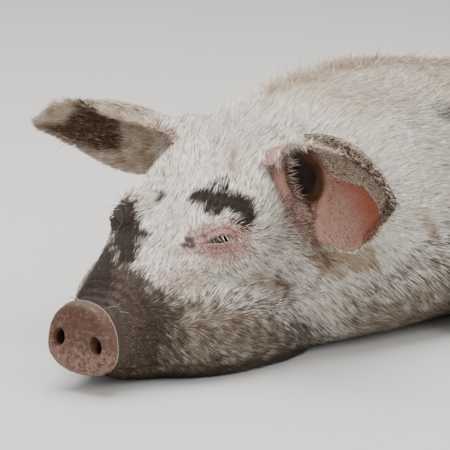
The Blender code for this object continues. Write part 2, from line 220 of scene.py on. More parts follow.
def put(mesh: Mesh, name: str, values: Array) -> None:
    """Writes an attribute of a mesh's points: numbers, or vectors."""
    kind, key = ("FLOAT_VECTOR", "vector") if values.ndim == 2 else ("FLOAT", "value")
    layer = mesh.attributes.get(name) or mesh.attributes.new(name, kind, "POINT")
    layer.data.foreach_set(key, values.astype(np.float32).ravel())


def new_piece(name: str, data: Any) -> Piece:
    """An object of this name at the origin that holds a mesh, a lamp or a camera."""
    data.name = name
    piece = bpy.data.objects.new(name, data)
    bpy.context.scene.collection.objects.link(piece)
    return piece


def drop(piece: Piece) -> None:
    """Removes an object and its mesh."""
    mesh = piece.data
    bpy.data.objects.remove(piece)
    bpy.data.meshes.remove(mesh)


def opened(mesh: Mesh) -> Shape:
    """A mesh as a shape to work on."""
    shape = bmesh.new()
    shape.from_mesh(mesh)
    shape.verts.ensure_lookup_table()
    return shape


def closed(shape: Shape, target: Mesh | str) -> Mesh:
    """A shape written to a mesh, or to a new one of that name, and freed."""
    mesh = bpy.data.meshes.new(target) if isinstance(target, str) else target
    shape.to_mesh(mesh)
    shape.free()
    return mesh


def frozen(piece: Piece) -> Mesh:
    """The mesh that the object's modifiers make."""
    graph = bpy.context.evaluated_depsgraph_get()
    return bpy.data.meshes.new_from_object(piece.evaluated_get(graph), depsgraph=graph)


def after(mesh: Mesh, kind: str, **settings: Any) -> Mesh:
    """The mesh that one modifier makes of a mesh, which it takes the place of.

    Args:
        mesh: The mesh to start from, which is removed.
        kind: The modifier's type.
        **settings: The modifier's settings.

    Returns:
        The new mesh.
    """
    holder = new_piece("holder", mesh)
    modifier = holder.modifiers.new(kind, kind)
    for name, value in settings.items():
        setattr(modifier, name, value)
    made = frozen(holder)
    drop(holder)
    return made


def remeshed(mesh: Mesh, voxel: float) -> Mesh:
    """The mesh rebuilt as one closed skin of even squares."""
    return after(mesh, "REMESH", mode="VOXEL", voxel_size=voxel, adaptivity=0.0)


def smoothed(mesh: Mesh, rounds: int, amount: Array | float = 1.0) -> Array:
    """A mesh's points smoothed along its edges without shrinking.

    Args:
        mesh: The mesh, which stays as it is.
        rounds: How many times each point is drawn in and let out again.
        amount: How much each point takes part, from 0 to 1.

    Returns:
        The new points, one a row.
    """
    points, count = places(mesh), len(mesh.vertices)
    a, b = edges(mesh).T
    partners = np.maximum(np.bincount(a, minlength=count) + np.bincount(b, minlength=count), 1)[:, None]
    share = np.broadcast_to(np.asarray(amount, float), (count,))[:, None]
    for _ in range(rounds):
        for factor in (0.50, -0.53):
            total = [np.bincount(a, points[b, i], count) + np.bincount(b, points[a, i], count) for i in range(3)]
            points = points + share * factor * (np.stack(total, axis=1) / partners - points)
    return points


def merged_copy(node: str) -> Shape:
    """A CAD node's shape with its loose triangles joined."""
    made = opened(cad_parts[node].data)
    bmesh.ops.remove_doubles(made, verts=made.verts, dist=1e-5)
    made.normal_update()
    return made


def ball(centre: Point, radii: Point, turn: Matrix | None = None, fineness: int = 4) -> Shape:
    """A closed egg shape, in the frame."""
    made = bmesh.new()
    bmesh.ops.create_icosphere(made, subdivisions=fineness, radius=1.0)
    place = Matrix.Translation(centre) @ (turn or Matrix.Identity(4)) @ Matrix.Diagonal((*radii, 1.0))
    bmesh.ops.transform(made, matrix=place, verts=made.verts)
    return made


def joined(parts: Sequence[Shape]) -> Mesh:
    """One mesh of several shapes, which are freed."""
    whole = bmesh.new()
    for part in parts:
        carrier = closed(part, "carrier")
        whole.from_mesh(carrier)
        bpy.data.meshes.remove(carrier)
    return closed(whole, "joined")


def largest_shell(mesh: Mesh) -> None:
    """Keeps only the biggest connected part of a mesh."""
    ends = edges(mesh).T
    label = np.arange(len(mesh.vertices))
    settled = False
    while not settled:
        low, new = label[ends].min(axis=0), label.copy()
        for end in ends:
            np.minimum.at(new, end, low)
        new = new[new]
        settled = np.array_equal(new, label)
        label = new
    names, sizes = np.unique(label, return_counts=True)
    if len(names) > 1:
        shape = opened(mesh)
        loose = np.flatnonzero(label != names[sizes.argmax()])
        bmesh.ops.delete(shape, geom=[shape.verts[i] for i in loose], context="VERTS")
        closed(shape, mesh)


# --- eyes, nostrils and the hollows of the ears ---


@dataclass(frozen=True)
class Eye:
    """One eye: its ball, and the lids that the skin lays over it, nearly closed."""

    side: int
    lid: Point = (0.0635, 0.128, 0.086)
    turn: float = 24.0
    lift: float = 24.0
    depth: float = 0.0095
    radius: float = 0.0115
    lid_radius: float = 0.0130
    blend: float = 0.0042
    slit_half: float = 0.0138
    slit_tilt: float = 4.0
    upper: float = 0.0042
    lower: float = 0.0034
    reach: float = 0.030
    margin: float = 0.0007
    crease_depth: float = 0.0014
    slit_depth: float = 0.0016
    dome: float = 0.035
    creases: tuple[tuple[float, ...], ...] = (
        (1.00, 0.0112, -31.0, 0.0010, 0.0215, 0.0185), (0.55, 0.0160, -20.0, 0.0013, 0.019, 0.012),
        (0.60, -0.0078, 16.0, 0.0011, 0.018, 0.012), (0.50, -0.0125, 12.0, 0.0014, 0.020, 0.013),
    )

    def axes(self) -> tuple[Array, Array, Array]:
        """The way along the slit from the inner to the outer corner, the way up across it, and the gaze."""
        turn, lift = math.radians(self.turn), math.radians(self.lift)
        gaze = mirrored((math.cos(lift) * math.cos(turn), -math.cos(lift) * math.sin(turn), math.sin(lift)), self.side)
        back = mirrored((math.sin(turn), math.cos(turn), 0.0), self.side)
        up = np.cross(gaze, back) if self.side == LEFT else np.cross(back, gaze)
        return *tilted(back, up, self.slit_tilt), gaze

    def centre(self) -> Array:
        """The middle of the ball, in head points."""
        return mirrored(self.lid, self.side) - self.axes()[2] * self.depth

    def local(self, head: Array) -> Array:
        """Head points as along, across and out from the middle of the ball."""
        return (head - self.centre()) @ np.stack(self.axes(), axis=1)

    def opening(self, local: Array) -> Array:
        """How far points lie outside the almond between the lids, less than 0 inside it."""
        share = np.clip(1.0 - (local[:, 0] / self.slit_half) ** 2, 0.0, 1.0) ** 0.75
        above, below = local[:, 1] - self.upper * share, -self.lower * share - local[:, 1]
        return np.maximum.reduce((above, below, np.abs(local[:, 0]) - self.slit_half))

    def crease(self, local: Array) -> Array:
        """How deep points lie in the creases over, under and beside the slit, from 0 to 1."""
        x, y = local[:, 0], local[:, 1]
        found = [
            strength * bump_at(y, level + bow * x**2, width) * ramp(np.abs(x), start, end)
            for strength, level, bow, width, start, end in self.creases
        ]
        corner = bump_at(y, 0.0, 0.0009) * ramp(np.abs(x), self.slit_half - 0.002, self.slit_half + 0.001)
        return np.maximum.reduce([*found, corner * ramp(np.abs(x), 0.022, 0.018)])

    def shape(self, head: Array) -> Array:
        """Lays the lids over the ball and opens the slit.

        Args:
            head: The skin's points near and far, in head points.

        Returns:
            The same points, moved near this eye.
        """
        local = self.local(head)
        near = (np.hypot(local[:, 0], local[:, 1]) < self.reach) & (local[:, 2] > 0.0)
        here = local[near]
        radius = np.linalg.norm(here, axis=1)
        way = here / radius[:, None]
        step = np.clip(0.5 + 0.5 * (radius - self.lid_radius) / self.blend, 0.0, 1.0)
        raised = self.lid_radius * (1 - step) + radius * step + self.blend * step * (1 - step)
        fade = ramp(np.hypot(here[:, 0], here[:, 1]), 0.026, 0.019)
        raised = radius + (raised - radius) * fade
        gap = self.opening(here)
        skin = raised + self.margin * bump_at(gap, 0.0011, 0.0010) - self.crease_depth * self.crease(here)
        inner = np.minimum(raised, self.radius - self.slit_depth)
        bare = ramp(gap, 0.0003, -0.0006)
        radius = skin * (1 - bare) + inner * bare
        moved = head.copy()
        moved[near] = (way * radius[:, None]) @ np.stack(self.axes(), axis=1).T + self.centre()
        return moved

    def build(self) -> Piece:
        """The ball, as a wet dark globe with a slightly domed front."""
        shape = ball((0.0, 0.0, 0.0), (1.0, 1.0, 1.0))
        points = np.array([v.co for v in shape.verts])
        dome = 1.0 + self.dome * ramp(points[:, 2], 0.80, 1.0)
        points = points * (self.radius * dome)[:, None]
        placed = HEAD.outside(points @ np.stack(self.axes()) + self.centre())
        for vertex, place in zip(shape.verts, placed):
            vertex.co = place
            vertex.normal_update()
        if self.side == RIGHT:
            bmesh.ops.recalc_face_normals(shape, faces=shape.faces)
        mesh = closed(shape, "eye")
        mesh.shade_smooth()
        return new_piece(f"eyeball_{SIDE_NAMES[self.side]}", mesh)


@dataclass(frozen=True)
class Nostril:
    """One nostril: an opening in the snout disc with a rounded, slightly raised rim."""

    side: int
    across: float = 0.0215
    half_width: float = 0.0066
    half_height: float = 0.0092
    tilt: float = 20.0
    depth: float = 0.015
    rim: float = 0.0010

    def reach(self, head: Array) -> Array:
        """How far points lie from the middle of the nostril, as a share of the way to its rim."""
        wide, tall = tilted(head[:, 0] * self.side - self.across, head[:, 2], self.tilt)
        return np.hypot(wide / self.half_width, tall / self.half_height)

    def shape(self, head: Array) -> Array:
        """Presses the nostril into the disc."""
        share = self.reach(head)
        front = ramp(head[:, 1], 0.004, -0.002)
        moved = head.copy()
        rim = self.rim * bump_at(share, 1.25, 0.28)
        inward = self.depth * ramp(share, 1.02, 0.62)
        lean = inward * 0.22 * self.side
        moved[:, 1] += front * (inward - rim)
        moved[:, 0] += front * lean * -0.4
        moved[:, 2] += front * inward * 0.12
        return moved


@dataclass(frozen=True)
class EarMouth:
    """The long hollow in the cup of an ear that leads to its canal, with a crisp front edge."""

    side: int
    middle: Point = (0.0838, 0.2337, 0.1345)
    half_width: float = 0.0190
    half_height: float = 0.0285
    tilt: float = 20.0
    depth: float = 0.017
    canal: Point = (0.0747, 0.2421, 0.1262)
    canal_radii: Point = (0.0245, 0.0205, 0.0205)

    def axes(self) -> tuple[Array, Array, Array]:
        """The ways across, along and out of the hollow."""
        ways = ((0.561, -0.802, 0.208), (0.819, 0.573, 0.0), (-0.120, 0.170, 0.978))
        out, wide, tall = (mirrored(way, self.side) for way in ways)
        return *tilted(wide, tall, self.tilt), out / np.linalg.norm(out)

    def reach(self, head: Array) -> Array:
        """How far points lie from the hollow's middle, as a share of the way to its edge; 9 far before or behind it."""
        local = (head - mirrored(self.middle, self.side)) @ np.stack(self.axes(), axis=1)
        share = np.hypot(local[:, 0] / self.half_width, local[:, 1] / self.half_height)
        return np.where(np.abs(local[:, 2]) < 0.026, share, 9.0)

    def sink(self, head: Array, facing: Array) -> Array:
        """Presses the hollow into the skin.

        Args:
            head: The skin's points, in head points.
            facing: The skin's normals in head axes.

        Returns:
            The moved points.
        """
        share = self.reach(head)
        out = self.axes()[2]
        depth = self.depth * (0.55 * ramp(share, 1.0, 0.72) + 0.45 * ramp(share, 0.75, 0.25))
        return head - out * (depth * ramp(facing @ out, -0.2, 0.1))[:, None]


EYES = tuple(Eye(side) for side in BOTH)
MOUTHS = tuple(EarMouth(side) for side in BOTH)
NOSTRILS = tuple(Nostril(side) for side in BOTH)


# --- ears and limbs ---


@dataclass
class Ears:
    """The two ears: which points are theirs, and where their faces, rims and hollows lie."""

    out_way: Point = (0.96, -0.10, 0.26)
    roots: Line = path(72, 250, 145, -72, 250, 143)
    band: Line = path(80, 162, 96, 146, 111, 138, 128, 138, 154, 139, 178, 129, 191, 119, 206, 105, width=2)
    edge: Line = path(
        107, 186, 179, 123, 195, 185, 148, 182, 187, 166, 180, 182, 183, 181, 174, 197, 180, 164, 210, 181, 148,
        209, 188, 139, 196, 200, 120, 184, 208, 107, 167, 219, 90,
    )
    # The lower and upper edges of the painted shade in the right ear's cup.
    dusk_low: Line = path(135, 121, 146, 118, 167, 117, 188, 121, 207, 127, 222, 134, width=2)
    dusk_high: Line = path(130, 175, 160, 176, 182, 158, 199, 142, 222, 137, width=2)
    trees: dict[int, BVHTree] = field(default_factory=dict)

    def share(self, head: Array) -> Array:
        """How much a point belongs to an ear, from 0 at its root to 1 out on it."""
        whole = np.zeros(len(head))
        for side, root in zip(BOTH, self.roots):
            if side not in self.trees:
                node = merged_copy(f"ear_{SIDE_NAMES[side]}")
                self.trees[side] = BVHTree.FromBMesh(node)
                node.free()
            away = head - np.array(root)
            out = away @ mirrored(self.out_way, side)
            asked = np.flatnonzero((out > 0.002) & (np.linalg.norm(away, axis=1) < 0.24))
            points = HEAD.outside(head[asked])
            far = np.array([self.trees[side].find_nearest(Vector(p), 0.02)[3] or 1.0 for p in points])
            whole[asked] = ramp(out[asked], 0.004, 0.034) * ramp(far, 0.0055, 0.0030)
        return whole

    def inner(self, facing: Array, share: Array) -> Array:
        """How much a point lies on the cupped face of an ear."""
        front = -0.86 * facing[:, 1] - 0.50 * facing[:, 2]
        return ramp(front, 0.0, 0.30) * ramp(share, 0.10, 0.40)

    def hollow(self, head: Array) -> Array:
        """How much a point lies in the hollow that leads to the ear canal."""
        return np.maximum.reduce([np.clip(1.42 - mouth.reach(head), 0, 1) for mouth in MOUTHS])

    def rim(self, head: Array, facing: Array, share: Array) -> Array:
        """How much a point lies on the hairy upper roll of the left ear."""
        line = np.interp(head[:, 0], *zip(*self.band))
        upper = soft_edge(head[:, 2] - line, 0.010) * ramp(share, 0.15, 0.6)
        return upper * (head[:, 0] > 0) * ramp(facing[:, 1], 0.45, 0.0)

    def fringe(self, head: Array, share: Array) -> Array:
        """How much a point lies at the outer edge of the left ear."""
        return np.clip(1.5 - to_polyline(head, self.edge)[0] / 0.0085, 0, 1) * ramp(share, 0.15, 0.6)

    def dusk(self, head: Array, facing: Array, share: Array) -> Array:
        """How much a point lies in the painted shade of the right ear's cup."""
        wide, above = -head[:, 0], head[:, 2]
        low, high = np.interp(wide, *zip(*self.dusk_low)), np.interp(wide, *zip(*self.dusk_high))
        inside = np.minimum.reduce([above - low, high - above, wide - 0.139])
        return soft_edge(inside, 0.008) * self.inner(facing, share) * (wide > 0)


EARS = Ears()


@dataclass(frozen=True)
class Limbs:
    """Where the leg bones and the tail run, as points of the body: the left legs, then the tail."""

    legs: tuple[Line, ...] = (
        path(130, 300, 100, 150, 318, 46, 160, 262, 44, 158, 184, 33),
        path(158, 188, 26, 172, 212, 18, 190, 246, 14, 196, 290, 15),
        path(126, 640, 120, 168, 606, 60, 176, 680, 56, 168, 785, 34),
        path(170, 785, 28, 182, 755, 20, 198, 690, 15, 206, 620, 15),
    )
    tail: Line = path(
        0, 875, 176, 4, 902, 170, 10, 914, 142, 20, 918, 108, 38, 922, 84, 56, 917, 92, 52, 922, 111, 36, 930, 106,
    )
    shift: Point = (-0.0024, -0.3363, 0.0)

    def line(self, corners: Line, side: int = LEFT) -> Line:
        """One line in the frame, on either side."""
        return tuple((side * x + self.shift[0], y + self.shift[1], z) for x, y, z in corners)

    def bones(self) -> list[Line]:
        """The bones of the left legs, then those of the right, in the frame."""
        return [self.line(corners, side) for side in BOTH for corners in self.legs]

    def near(self, points: Array) -> list[tuple[Array, Array]]:
        """For each leg bone and last for the tail, how near each point is and the bone's way there."""
        runs = [(bone, 0.048, 0.026) for bone in self.bones()] + [(self.line(self.tail), 0.026, 0.016)]
        found = [(*to_polyline(points, line), start, end) for line, start, end in runs]
        return [(ramp(far, start, end), way) for far, way, start, end in found]

    def thin(self, points: Array) -> Array:
        """How much each point belongs to a foot, a shank or the tail, which smoothing would wear away."""
        shares = [ramp(to_polyline(points, self.line(self.tail))[0], 0.024, 0.015)]
        for number, bone in enumerate(self.bones()):
            far = to_polyline(points, bone)[0]
            shares.append(ramp(far, 0.034, 0.024) if number % 2 else 0.6 * ramp(far, 0.050, 0.036))
        return np.maximum.reduce(shares)


LIMBS = Limbs()


# --- skin ---


@dataclass
class Skin:
    """The one skin over all the flesh, inside the CAD solids by the depth of the coat."""

    swell: float = 0.0008
    voxel: float = 0.0027
    rounds: int = 24
    body_start: float = 0.355
    body_faces: int = 30000
    body_rounds: int = 30
    fine_rounds: int = 12
    ear_hold: float = 0.5
    limb_hold: float = 0.85
    ring_gap: float = 0.0085
    neck_gap: float = 0.0125
    brow_gap: float = 0.0105
    bare_depth: float = 0.0002
    floor: float = 0.0006
    eye_bed: float = 0.0006
    lid_radii: Point = (0.0095, 0.0135, 0.0065)
    plug_depth: float = 0.0135
    plug_radii: Point = (0.0105, 0.0205, 0.0120)

    def flesh(self) -> Mesh:
        """The flesh nodes, swollen until they meet, with the eyes, the ear canals and the nostrils filled."""
        parts = [merged_copy(node) for node in FLESH_NODES]
        for part in parts:
            swollen = [v.co + v.normal * self.swell for v in part.verts]
            for vertex, place in zip(part.verts, swollen):
                vertex.co = place
        spin = HEAD.matrix()
        level = spin.to_3x3().to_4x4()
        for eye in EYES:
            centre, lid = spin @ Vector(eye.centre()), spin @ Vector(mirrored(eye.lid, eye.side))
            turn = Euler((0.0, -eye.side * math.radians(eye.lift), -eye.side * math.radians(eye.turn)))
            parts.append(ball(centre, (eye.radius + self.eye_bed,) * 3))
            parts.append(ball(lid - (lid - centre) * 0.2, self.lid_radii, level @ turn.to_matrix().to_4x4()))
        for mouth in MOUTHS:
            parts.append(ball(spin @ Vector(mirrored(mouth.canal, mouth.side)), mouth.canal_radii, level))
        for nostril in NOSTRILS:
            middle = spin @ Vector((nostril.side * nostril.across, self.plug_depth, 0.0))
            parts.append(ball(middle, self.plug_radii, level))
        return joined(parts)

    def thinned(self, mesh: Mesh) -> Mesh:
        """The mesh with the body in bigger faces, which the head keeps small."""
        body = HEAD.inside(places(mesh))[:, 1] > self.body_start
        holder = new_piece("holder", mesh)
        holder.vertex_groups.new(name="body").add(np.flatnonzero(body).tolist(), 1.0, "REPLACE")
        modifier = holder.modifiers.new("thin", "DECIMATE")
        modifier.ratio = 1.0 - float(np.mean(body)) + self.body_faces / (2.0 * len(mesh.polygons))
        modifier.vertex_group = "body"
        modifier.vertex_group_factor = 10.0
        made = frozen(holder)
        drop(holder)
        return made

    def refined(self, mesh: Mesh) -> None:
        """Splits the faces of the snout, the ear cups, the nostrils and the lids, once or twice."""
        for zone in (self.fine_zone, self.finest_zone):
            inside = zone(HEAD.inside(places(mesh)))
            shape = opened(mesh)
            split = [edge for edge in shape.edges if all(inside[end.index] for end in edge.verts)]
            bmesh.ops.subdivide_edges(shape, edges=split, cuts=1, use_grid_fill=True)
            bmesh.ops.triangulate(shape, faces=[face for face in shape.faces if len(face.verts) > 3])
            closed(shape, mesh)

    @staticmethod
    def fine_zone(head: Array) -> Array:
        """Which points lie on the front of the snout, round an eye or in the cup of an ear."""
        inside = head[:, 1] < 0.042
        for mouth in MOUTHS:
            inside |= mouth.reach(head) < 1.25
        for eye in EYES:
            inside |= np.linalg.norm(head - eye.centre(), axis=1) < 0.027
        return inside

    @staticmethod
    def finest_zone(head: Array) -> Array:
        """Which points lie round a nostril or a lid."""
        inside = np.zeros(len(head), bool)
        for eye in EYES:
            local = eye.local(head)
            inside |= (np.abs(local[:, 0]) < 0.018) & (np.abs(local[:, 1]) < 0.012) & (local[:, 2] > 0.004)
        for nostril in NOSTRILS:
            inside |= (nostril.reach(head) < 1.7) & (head[:, 1] < 0.006)
        return inside

    def coat_depth(self, points: Array) -> Array:
        """How far the coat stands off the skin."""
        head = HEAD.inside(points)
        depth = 0.0014 + 0.0018 * ramp(head[:, 1], 0.16, 0.42)
        depth *= ramp(head[:, 1], -0.002, 0.030) * 0.8 + 0.2
        depth = np.where(head[:, 1] < 0.006, self.bare_depth, depth)
        depth *= 1.0 - 0.55 * EARS.share(head)
        return depth * (1.0 - 0.65 * LIMBS.thin(points))

    def roll_lift(self, head: Array) -> Array:
        """How far the underside of the left ear's roll rises at its front, where it opens over the cup."""
        there = EARS.share(head) * ramp(head[:, 1], 0.222, 0.204) * ramp(head[:, 0], 0.170, 0.140) * (head[:, 0] > 0)
        return 0.0125 * there * ramp(head[:, 2], 0.188, 0.164)

    def folds(self, head: Array, facing: Array) -> Array:
        """How far the skin rises or falls in its folds and wrinkles.

        Args:
            head: Head points.
            facing: The skin's normals in head axes.

        Returns:
            The rise along the normal, in metres.
        """
        side, behind, above = head.T
        wide, ears = np.abs(side), EARS.share(head)
        waver = 0.0016 * np.sin(side * 130.0 + above * 60.0) + 0.0010 * np.sin(above * 210.0 - side * 75.0)
        # Rings of loose skin behind the disc, deepest on top.
        ring = np.sin((behind + waver) * 2 * math.pi / self.ring_gap)
        where = ramp(behind, 0.010, 0.017) * ramp(behind, 0.060, 0.034) * (0.35 + 0.65 * ramp(above, -0.015, 0.020))
        rise = 0.00085 * ring * where
        # A dip between and above the nostrils, and the crease that joins them.
        front = ramp(behind, 0.003, -0.004)
        rise -= 0.0007 * front * bump_at(above, 0.0005 + 0.0012 * np.sin(side * 180), 0.0013) * ramp(wide, 0.034, 0.026)
        rise -= 0.0012 * front * bump_at(side, 0.0, 0.0075) * ramp(above, -0.012, 0.022)
        rise += 0.0011 * bump_at(behind, 0.0045, 0.0026) - 0.0016 * bump_at(behind, 0.0105, 0.0022)
        rise += 0.0006 * front * bump_at(above, -0.016, 0.006)
        # The line of the mouth.
        line = -0.0285 + 0.9 * np.clip(behind - 0.080, 0.0, 1.0) ** 1.6 * 3.2
        lips = ramp(behind, 0.004, 0.012) * ramp(behind, 0.122, 0.108) * ramp(wide, 0.012, 0.024)
        rise -= 0.0030 * lips * bump_at(above, line, 0.0016)
        rise += 0.0009 * lips * (bump_at(above, line + 0.005, 0.003) + bump_at(above, line - 0.005, 0.003))
        # The folds of the neck behind the ears, and the one that runs down from the root of the ear.
        for sign, root in zip(BOTH, EARS.roots):
            far = np.linalg.norm((head - np.array(root)) * (1.0, 1.0, 0.85), axis=1)
            there = ramp(side * sign, 0.03, 0.07) * ramp(behind, 0.262, 0.30)
            there *= ramp(far, 0.075, 0.10) * ramp(far, 0.26, 0.17) * (1 - ears)
            turn = far * 2 * math.pi / self.neck_gap + 9.0 * above + 2.2 * np.sin(above * 47.0)
            rise += 0.0004 * there * np.sin(turn)
            near = to_polyline(head, path(sign * 100, 222, 70, sign * 113, 230, 50, sign * 110, 226, 28))[0]
            rise -= 0.0019 * bump_at(near, 0.0, 0.0055) * (1 - ears)
            rise += 0.0012 * bump_at(near, 0.011, 0.006) * (1 - ears)
        # The roll along the upper edge of an ear, over its cup.
        line = np.interp(wide, *zip(*EARS.band))
        roll = ramp(above, line - 0.001, line + 0.006) - 0.8 * bump_at(above, line - 0.004, 0.004)
        rise += 0.0020 * roll * EARS.inner(facing, ears) * ramp(wide, 0.095, 0.115)
        # Wrinkles that run back from the brow and the outer corner of the eye.
        brow = ramp(wide, 0.018, 0.030) * ramp(behind, 0.125, 0.140) * ramp(behind, 0.200, 0.170)
        brow *= ramp(above, 0.096, 0.102) * ramp(facing[:, 2], 0.1, 0.5)
        rise += 0.0006 * brow * np.sin((above * 0.8 + behind * 0.6) * 2 * math.pi / self.brow_gap)
        return rise

    def build(self) -> Piece:
        """Melts the flesh into one skin, smooths it, and works its detail into it."""
        mesh = remeshed(self.flesh(), self.voxel)
        largest_shell(mesh)
        LOG.info("skin: %d points after melting", len(mesh.vertices))
        points = places(mesh)
        held = np.maximum(self.ear_hold * EARS.share(HEAD.inside(points)), self.limb_hold * LIMBS.thin(points))
        move_to(mesh, smoothed(mesh, self.rounds, 1.0 - held))
        mesh = self.thinned(mesh)
        points = places(mesh)
        body = ramp(HEAD.inside(points)[:, 1], 0.34, 0.44) * (1.0 - LIMBS.thin(points))
        move_to(mesh, smoothed(mesh, self.body_rounds, body))
        self.refined(mesh)
        move_to(mesh, smoothed(mesh, self.fine_rounds, self.fine_zone(HEAD.inside(places(mesh)))))
        points = places(mesh)
        points -= normals(mesh) * (self.swell + self.coat_depth(points))[:, None]
        move_to(mesh, points)
        facing = normals(mesh)
        head = HEAD.inside(points)
        for mouth in MOUTHS:
            head = mouth.sink(head, HEAD.turned_back(facing))
        head[:, 2] += self.roll_lift(head)
        points = HEAD.outside(head)
        points += facing * self.folds(head, HEAD.turned_back(facing))[:, None]
        head = HEAD.inside(points)
        for shaper in (*EYES, *NOSTRILS):
            head = shaper.shape(head)
        move_to(mesh, HEAD.outside(head), self.floor)
        mesh.shade_smooth()
        LOG.info("skin: %d points, %d faces", len(mesh.vertices), len(mesh.polygons))
        return new_piece("skin", mesh)


# --- node graphs ---


def operator(operation: str, swapped: bool = False) -> Callable[["Term", "Term | float"], "Term"]:
    """A method of Term that makes one Math node of it and another value, or of the two swapped."""

    def method(self: "Term", other: "Term | float") -> "Term":
        """Makes the node."""
        return self.maths(operation, *((other, self) if swapped else (self, other)))

    return method


class Term:
    """A node's output that takes part in Python expressions on numbers."""

    def __init__(self, graph: "Graph", socket: bpy.types.NodeSocket | None) -> None:
        """Wraps a socket of a graph."""
        self.graph, self.socket = graph, socket

    def beside(self, out: str | int) -> "Term":
        """Another output of the same node."""
        return Term(self.graph, self.graph.find(self.socket.node.outputs, out))

    def maths(self, operation: str, *values: "Term | float") -> "Term":
        """The result of a Math node on these values."""
        return self.graph.node("ShaderNodeMath", {"operation": operation}, dict(enumerate(values)))

    __add__ = __radd__ = operator("ADD")
    __mul__ = __rmul__ = operator("MULTIPLY")
    __sub__, __rsub__ = operator("SUBTRACT"), operator("SUBTRACT", swapped=True)
    __pow__ = operator("POWER")

    def above(self, start: float, end: float) -> "Term":
        """Smooth 0 to 1 as this goes from start to end."""
        sockets = {"Value": self, "From Min": start, "From Max": end}
        return self.graph.node("ShaderNodeMapRange", {"interpolation_type": "SMOOTHSTEP"}, sockets)


class Graph:
    """A tree of nodes, each made by one method."""

    def __init__(self, tree: bpy.types.NodeTree) -> None:
        """Takes over an empty tree."""
        self.tree = tree

    @staticmethod
    def find(sockets: Any, key: str | int) -> bpy.types.NodeSocket:
        """The socket with this place, identifier or name."""
        if isinstance(key, int):
            return sockets[key]
        for socket in sockets:
            if socket.identifier == key:
                return socket
        return sockets[key]

    def node(
        self, kind: str, settings: dict[str, Any] | None = None, sockets: dict[str | int, Any] | None = None,
        out: str | int = 0,
    ) -> Term:
        """Makes a node.

        Args:
            kind: The node's type.
            settings: The node's own settings, set first.
            sockets: Values or links of its inputs.
            out: Which output is wanted.

        Returns:
            The wanted output.
        """
        made = self.tree.nodes.new(kind)
        for name, value in (settings or {}).items():
            setattr(made, name, value)
        for key, value in (sockets or {}).items():
            socket = self.find(made.inputs, key)
            if isinstance(value, Term):
                self.tree.links.new(value.socket, socket)
            elif isinstance(value, tuple) and len(value) < len(socket.default_value):
                socket.default_value = (*value, 1.0)
            else:
                socket.default_value = value
        return Term(self, self.find(made.outputs, out) if made.outputs else None)

    def vectors(self, operation: str, *values: Any, out: str | int = 0) -> Term:
        """The result of a Vector Math node."""
        return self.node("ShaderNodeVectorMath", {"operation": operation}, dict(enumerate(values)), out)


class Wiring(Graph):
    """A material's nodes, and the helpers that every finish shares."""

    def __init__(self, name: str) -> None:
        """Starts an empty material."""
        self.material = bpy.data.materials.new(name)
        self.material.use_nodes = True
        self.material.node_tree.nodes.clear()
        super().__init__(self.material.node_tree)

    def place(self) -> Term:
        """The point in the object's own axes."""
        return self.node("ShaderNodeTexCoord", out="Object")

    def attribute(self, name: str, out: str = "Fac") -> Term:
        """An attribute of the mesh."""
        return self.node("ShaderNodeAttribute", {"attribute_name": name}, out=out)

    def noise(self, place: Term, scale: float, detail: float = 3.0, rough: float = 0.55) -> Term:
        """Soft noise with features about one over the scale wide."""
        sockets = {"Vector": place, "Scale": scale, "Detail": detail, "Roughness": rough}
        return self.node("ShaderNodeTexNoise", None, sockets, "Fac")

    def mix(self, share: Term | float, first: Any, second: Any) -> Term:
        """Two colours mixed."""
        sockets = {"Factor_Float": share, "A_Color": first, "B_Color": second}
        return self.node("ShaderNodeMix", {"data_type": "RGBA", "blend_type": "MIX"}, sockets, "Result_Color")

    def bump(self, height: Term, strength: float, distance: float) -> Term:
        """A normal from a height."""
        return self.node("ShaderNodeBump", None, {"Height": height, "Strength": strength, "Distance": distance})

    def finish(self, **sockets: Any) -> Material:
        """Ends the material in a Principled shader with these sockets, named with _ for a space."""
        shader = self.node("ShaderNodeBsdfPrincipled", None, {k.replace("_", " "): v for k, v in sockets.items()})
        self.node("ShaderNodeOutputMaterial", None, {"Surface": shader})
        return self.material


# --- markings ---


class Mark(Enum):
    """The kinds of marking, each kept on the skin as an attribute of that name."""

    # Mud, and painted shade low on the body, on its sides and on the lower chest.
    MUD = "mud"
    # Caked mud, and painted shade in the folds below the ears and between cheek and neck.
    CAKED = "caked"
    BLACK = "black"
    TAN = "tan"
    BARE = "bare"
    FLUSH = "flush"
    # Painted shade in the hollows of the ear cups and in the nostrils.
    HOLLOW = "hollow"
    DISC = "disc"
    RIM = "rim"
    SPECK = "speck"
    # Painted shade in the cup of the right ear.
    DUSK = "dusk"
    # Painted shade in the creases round the eyes.
    CREASE = "crease"
    BUFF = "buff"
    # Where the coat's painted shade between clumps and at the roots is eased: painted light from the neck back, and in
    # the right ear's cup.
    PLAIN = "plain"


